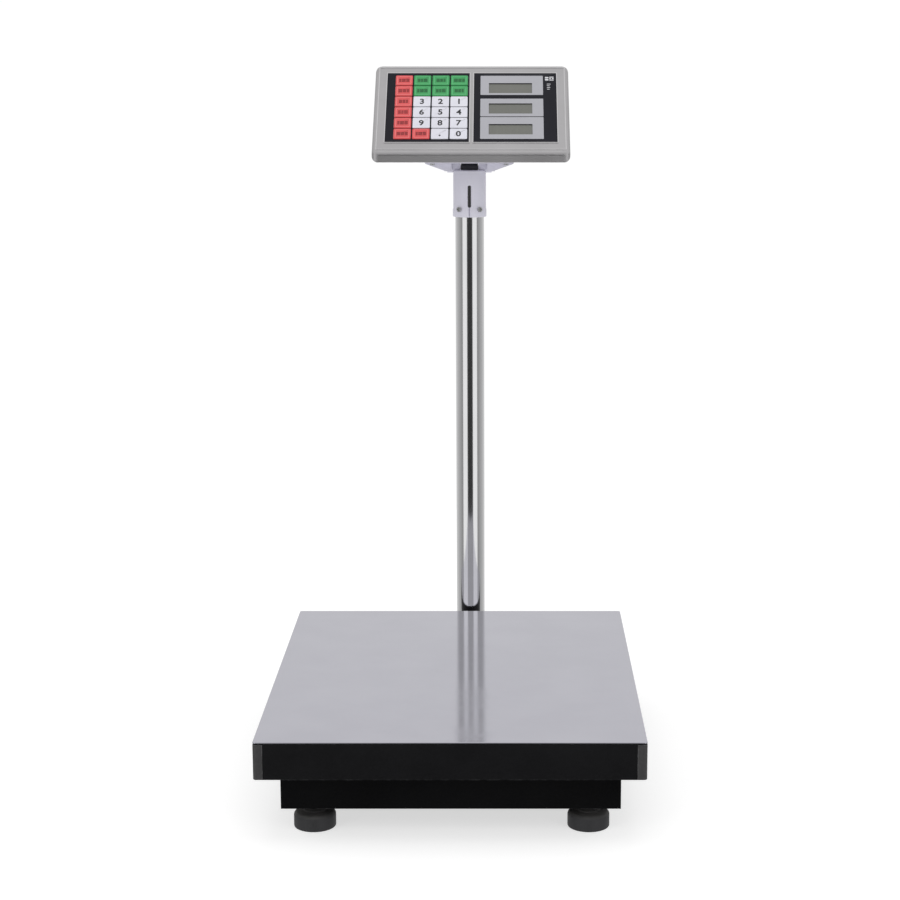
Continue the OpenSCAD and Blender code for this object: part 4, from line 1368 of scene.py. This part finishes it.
@dataclass
class Displays:
    """The display overlay with its printed fields, and the displays behind it."""

    print_height: float = 0.05 * MM
    fields: tuple[tuple[float, float], ...] = ((80.1, 113.6), (43.2, 73.6), (5.1, 42.0))
    field_left: float = 7.9
    field_right: float = 83.2
    digits: int = 6
    window_margin: float = 3.0 * MM
    window_length: float = 17.4 * MM

    def build(self) -> None:
        """Dresses the overlay and the displays, and prints fields, segments and marks."""
        dress_node("display_overlay", "overlay_black", 0.15 * MM)
        dress_node("lcd_modules", "lcd_glass")
        self._fields()
        self._segments()
        self._marks()

    def _windows(self) -> list[tuple[Vector, Vector]]:
        """Works out the three windows from the displays behind them, in face coordinates."""
        low, high = FACE.extent("lcd_modules")
        margin, length = self.window_margin, self.window_length
        step = ((high.y - low.y) - length - 2 * margin) / 2
        windows = []
        for i in range(3):
            y = low.y + margin + i * step
            windows.append((
                Vector((low.x + margin, y, low.z)), Vector((high.x - margin, y + length, high.z))
            ))
        return windows

    def _fields(self) -> None:
        """Light fields round the windows, as thin printed plates."""
        low, high = FACE.extent("display_overlay")
        plates = []
        for bottom, top in self.fields:
            lo = Vector((low.x + self.field_left * MM, low.y + bottom * MM, high.z))
            hi = Vector((low.x + self.field_right * MM, low.y + top * MM, high.z + self.print_height))
            plates.append(slab_mesh(lo, hi, 0.8 * MM, 0.0, 3))
        fields = mesh_object("display_fields", FACE.place(merged(plates)))
        cuts = []
        for lo, hi in self._windows():
            reach = Vector((0, 0, 3 * MM))
            cuts.append(FACE.place(box_mesh(lo - reach, hi + reach)))
        carve(fields, cuts)
        finish_piece(fields, FINISH["print_grey"], "head")

    def _segments(self) -> None:
        """Unlit segments of the displays' numerals."""
        bars = []
        for lo, hi in self._windows():
            pitch = (hi.x - lo.x - 4 * MM) / self.digits
            wide, tall, line = pitch * 0.62, (hi.y - lo.y) * 0.62, 0.9 * MM
            y0 = (lo.y + hi.y) / 2 - tall / 2
            for i in range(self.digits):
                x0 = lo.x + 2 * MM + pitch * (i + 0.19)
                for k in range(3):
                    bars.append((x0 + line, y0 + k * tall / 2 - line / 2, wide - 2 * line, line))
                for side in (0.0, wide - line):
                    for k in range(2):
                        bars.append((x0 + side, y0 + k * tall / 2 + line / 2, line, tall / 2 - line))
        level = FACE.extent("lcd_modules")[1].z
        parts = []
        for x, y, w, h in bars:
            corner = Vector((x, y, level))
            parts.append(box_mesh(corner, corner + Vector((w, h, 0.02 * MM))))
        segments = mesh_object("lcd_segments", FACE.place(merged(parts)))
        finish_piece(segments, FINISH["lcd_segment"], "head")

    def _marks(self) -> None:
        """A small square mark and short bars down the overlay's right edge."""
        low, high = FACE.extent("display_overlay")
        marks = [(85.8, 105.4, 4.2, 2.6), (85.8, 109.0, 4.2, 2.6), (91.0, 105.4, 5.2, 1.4)]
        marks += [(91.0, 107.8, 2.0, 2.0), (94.2, 107.8, 2.0, 2.0), (91.0, 110.6, 5.2, 1.4)]
        marks += [(88.0, 98.6 - 3.0 * i, w, 0.9) for i, w in enumerate((4.4, 3.4, 4.0, 3.2))]
        parts = []
        for u, v, width, height in marks:
            corner = Vector((low.x + u * MM, low.y + v * MM, high.z))
            size = Vector((width * MM, height * MM, self.print_height))
            parts.append(box_mesh(corner, corner + size))
        piece = mesh_object("overlay_marks", FACE.place(merged(parts)))
        finish_piece(piece, FINISH["print_white"], "head")


@dataclass
class Electrics:
    """What the head holds, and the fittings in its back."""

    def build(self) -> None:
        """Dresses the board, the battery, the inlet and the power switch."""
        dress_nodes({
            "main_board": ("board_green", 0.0),
            "battery": ("battery_grey", 0.8 * MM),
            "dc_inlet": ("plastic_black", 0.3 * MM),
            "switch_bezel": ("plastic_black", 0.3 * MM),
            "power_rocker": ("rocker_red", 0.25 * MM),
        })


# ---------------------------------------------------------------- studio


@dataclass
class Studio:
    """Camera, pale floor, lights and surroundings."""

    camera_at: Vector = field(default_factory=lambda: Vector((0.05337, -2.24854, 0.78761)))
    pitch: float = 10.87
    lens: float = 81.38
    shift: float = -0.0586
    floor_half: float = 1.3
    floor_glow: float = 0.62
    backdrop: float = 1.02
    ambient: float = 0.72
    behind: float = 0.80
    front_high: float = 0.60
    overhead: float = 0.80
    raised_dark: float = 0.24
    panels: tuple[tuple[float, float], ...] = (
        (0.0, 0.38), (0.30, 0.25), (0.74, 0.14), (0.77, 0.46),
        (0.955, 0.46), (0.972, 0.03), (1.0, 0.02),
    )

    def build(self) -> None:
        """Sets up everything round the scale."""
        self._camera()
        self._floor()
        self._world()
        self._lights()

    def _camera(self) -> None:
        """Camera in front of the scale, a little above its head."""
        data = bpy.data.cameras.new("camera")
        data.sensor_width = 36.0
        data.lens = self.lens
        data.shift_x = self.shift
        camera = bpy.data.objects.new("camera", data)
        camera.location = self.camera_at
        camera.rotation_euler = (math.radians(90 - self.pitch), 0, 0)
        bpy.context.scene.collection.objects.link(camera)
        bpy.context.scene.camera = camera
        bpy.context.scene.view_settings.view_transform = "Standard"

    def _floor(self) -> None:
        """White sheet under the scale."""
        half = self.floor_half
        bm = bmesh.new()
        bmesh.ops.create_grid(bm, x_segments=1, y_segments=1, size=half)
        bmesh.ops.translate(bm, vec=(0, 0, -0.2 * MM), verts=bm.verts)
        floor = mesh_object("floor", bm)
        material = bpy.data.materials.new("floor_white")
        material.use_nodes = True
        shader = material.node_tree.nodes["Principled BSDF"]
        shader.inputs["Base Color"].default_value = (0.55, 0.55, 0.55, 1)
        shader.inputs["Roughness"].default_value = 0.9
        shader.inputs["Specular IOR Level"].default_value = 0.0
        shader.inputs["Emission Color"].default_value = (1, 1, 1, 1)
        shader.inputs["Emission Strength"].default_value = self.floor_glow
        floor.data.materials.append(material)
        floor.visible_glossy = False

    def _world(self) -> None:
        """White to the eye and even for soft light; in reflections, panels round a dim studio.

        Low down in front there is a dark stretch with a bright panel at each side of it.
        """
        world = bpy.data.worlds.new("studio")
        world.use_nodes = True
        bpy.context.scene.world = world
        sheet = NodeSheet(world.node_tree)
        background = world.node_tree.nodes["Background"]
        path = sheet.add("ShaderNodeLightPath")
        direction = sheet.add("ShaderNodeTexCoord").outputs["Generated"]
        parts = sheet.add("ShaderNodeSeparateXYZ", {0: direction})
        level = sheet.add("ShaderNodeVectorMath", {0: direction, 1: (1, 1, 0)}, operation="MULTIPLY")
        bearing = sheet.add("ShaderNodeVectorMath", {0: level.outputs[0]}, operation="NORMALIZE")
        turned = sheet.add("ShaderNodeSeparateXYZ", {0: bearing.outputs[0]})
        facing = sheet.spread(turned.outputs["Y"], 1.0, -1.0)
        ring = sheet.add("ShaderNodeValToRGB", {"Fac": facing})
        stops = ring.color_ramp.elements
        while len(stops) < len(self.panels):
            stops.new(1.0)
        for stop, (place, tone) in zip(stops, self.panels):
            stop.position = place
            stop.color = (tone, tone, tone, 1)
        high = sheet.spread(facing, 0.0, 1.0, self.behind / 2, self.front_high / 2)
        raised = sheet.math("MAXIMUM", ring.outputs["Color"], self.raised_dark)
        reflected = ring.outputs["Color"]
        for start, end, tone in (
            (0.0, 0.12, raised), (0.36, 0.55, high), (0.5, 0.85, self.overhead / 2)
        ):
            reflected = self._blend(
                sheet, sheet.spread(parts.outputs["Z"], start, end), reflected, tone
            )
        doubled = sheet.math("MULTIPLY", reflected, 2.0)
        soft = sheet.spread(path.outputs["Is Camera Ray"], 0.0, 1.0, self.ambient, self.backdrop)
        tone = self._blend(sheet, path.outputs["Is Glossy Ray"], soft, doubled)
        sheet.link(tone, background.inputs["Strength"])
        background.inputs["Color"].default_value = (1, 1, 1, 1)

    @staticmethod
    def _blend(
        sheet: NodeSheet, factor: bpy.types.NodeSocket,
        first: bpy.types.NodeSocket, second: bpy.types.NodeSocket | float,
    ) -> bpy.types.NodeSocket:
        """Blends two values by a third."""
        inputs = {"Factor": factor, "A": first, "B": second}
        return sheet.add("ShaderNodeMix", inputs, data_type="FLOAT").outputs["Result"]

    def _lights(self) -> None:
        """Soft boxes: one above, and one at each side of the camera."""
        self._soft_box("top_light", Vector((0, -0.3, 2.4)), Vector((0, 0, 0.3)), 1.6, 1.6, 8.0)
        for side, power in ((-1, 7.0), (1, 5.0)):
            at = Vector((side * 1.5, -1.9, 1.1))
            self._soft_box(f"side_light_{side}", at, Vector((0, 0.1, 0.4)), 0.5, 1.5, power)

    @staticmethod
    def _soft_box(
        name: str, at: Vector, target: Vector, width: float, height: float, power: float
    ) -> None:
        """Hangs one soft box.

        Args:
            name: The light's name.
            at: Where it hangs.
            target: What it faces.
            width: Its width.
            height: Its height.
            power: Its power in watts.
        """
        data = bpy.data.lights.new(name, "AREA")
        data.shape = "RECTANGLE"
        data.size = width
        data.size_y = height
        data.energy = power
        light = bpy.data.objects.new(name, data)
        light.location = at
        light.rotation_euler = (target - at).to_track_quat("-Z", "Y").to_euler()
        light.visible_glossy = False
        bpy.context.scene.collection.objects.link(light)


def main() -> None:
    """Builds the studio and every sub-assembly."""
    logging.basicConfig(level=logging.INFO, format="%(name)s: %(message)s")
    for assembly in (
        Studio(), Deck(), BaseFrame(), Column(), TiltHinge(), Head(), Keypad(), Displays(), Electrics(),
    ):
        log.info("building %s", type(assembly).__name__)
        assembly.build()
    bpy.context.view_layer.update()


if __name__ == "__main__":
    main()
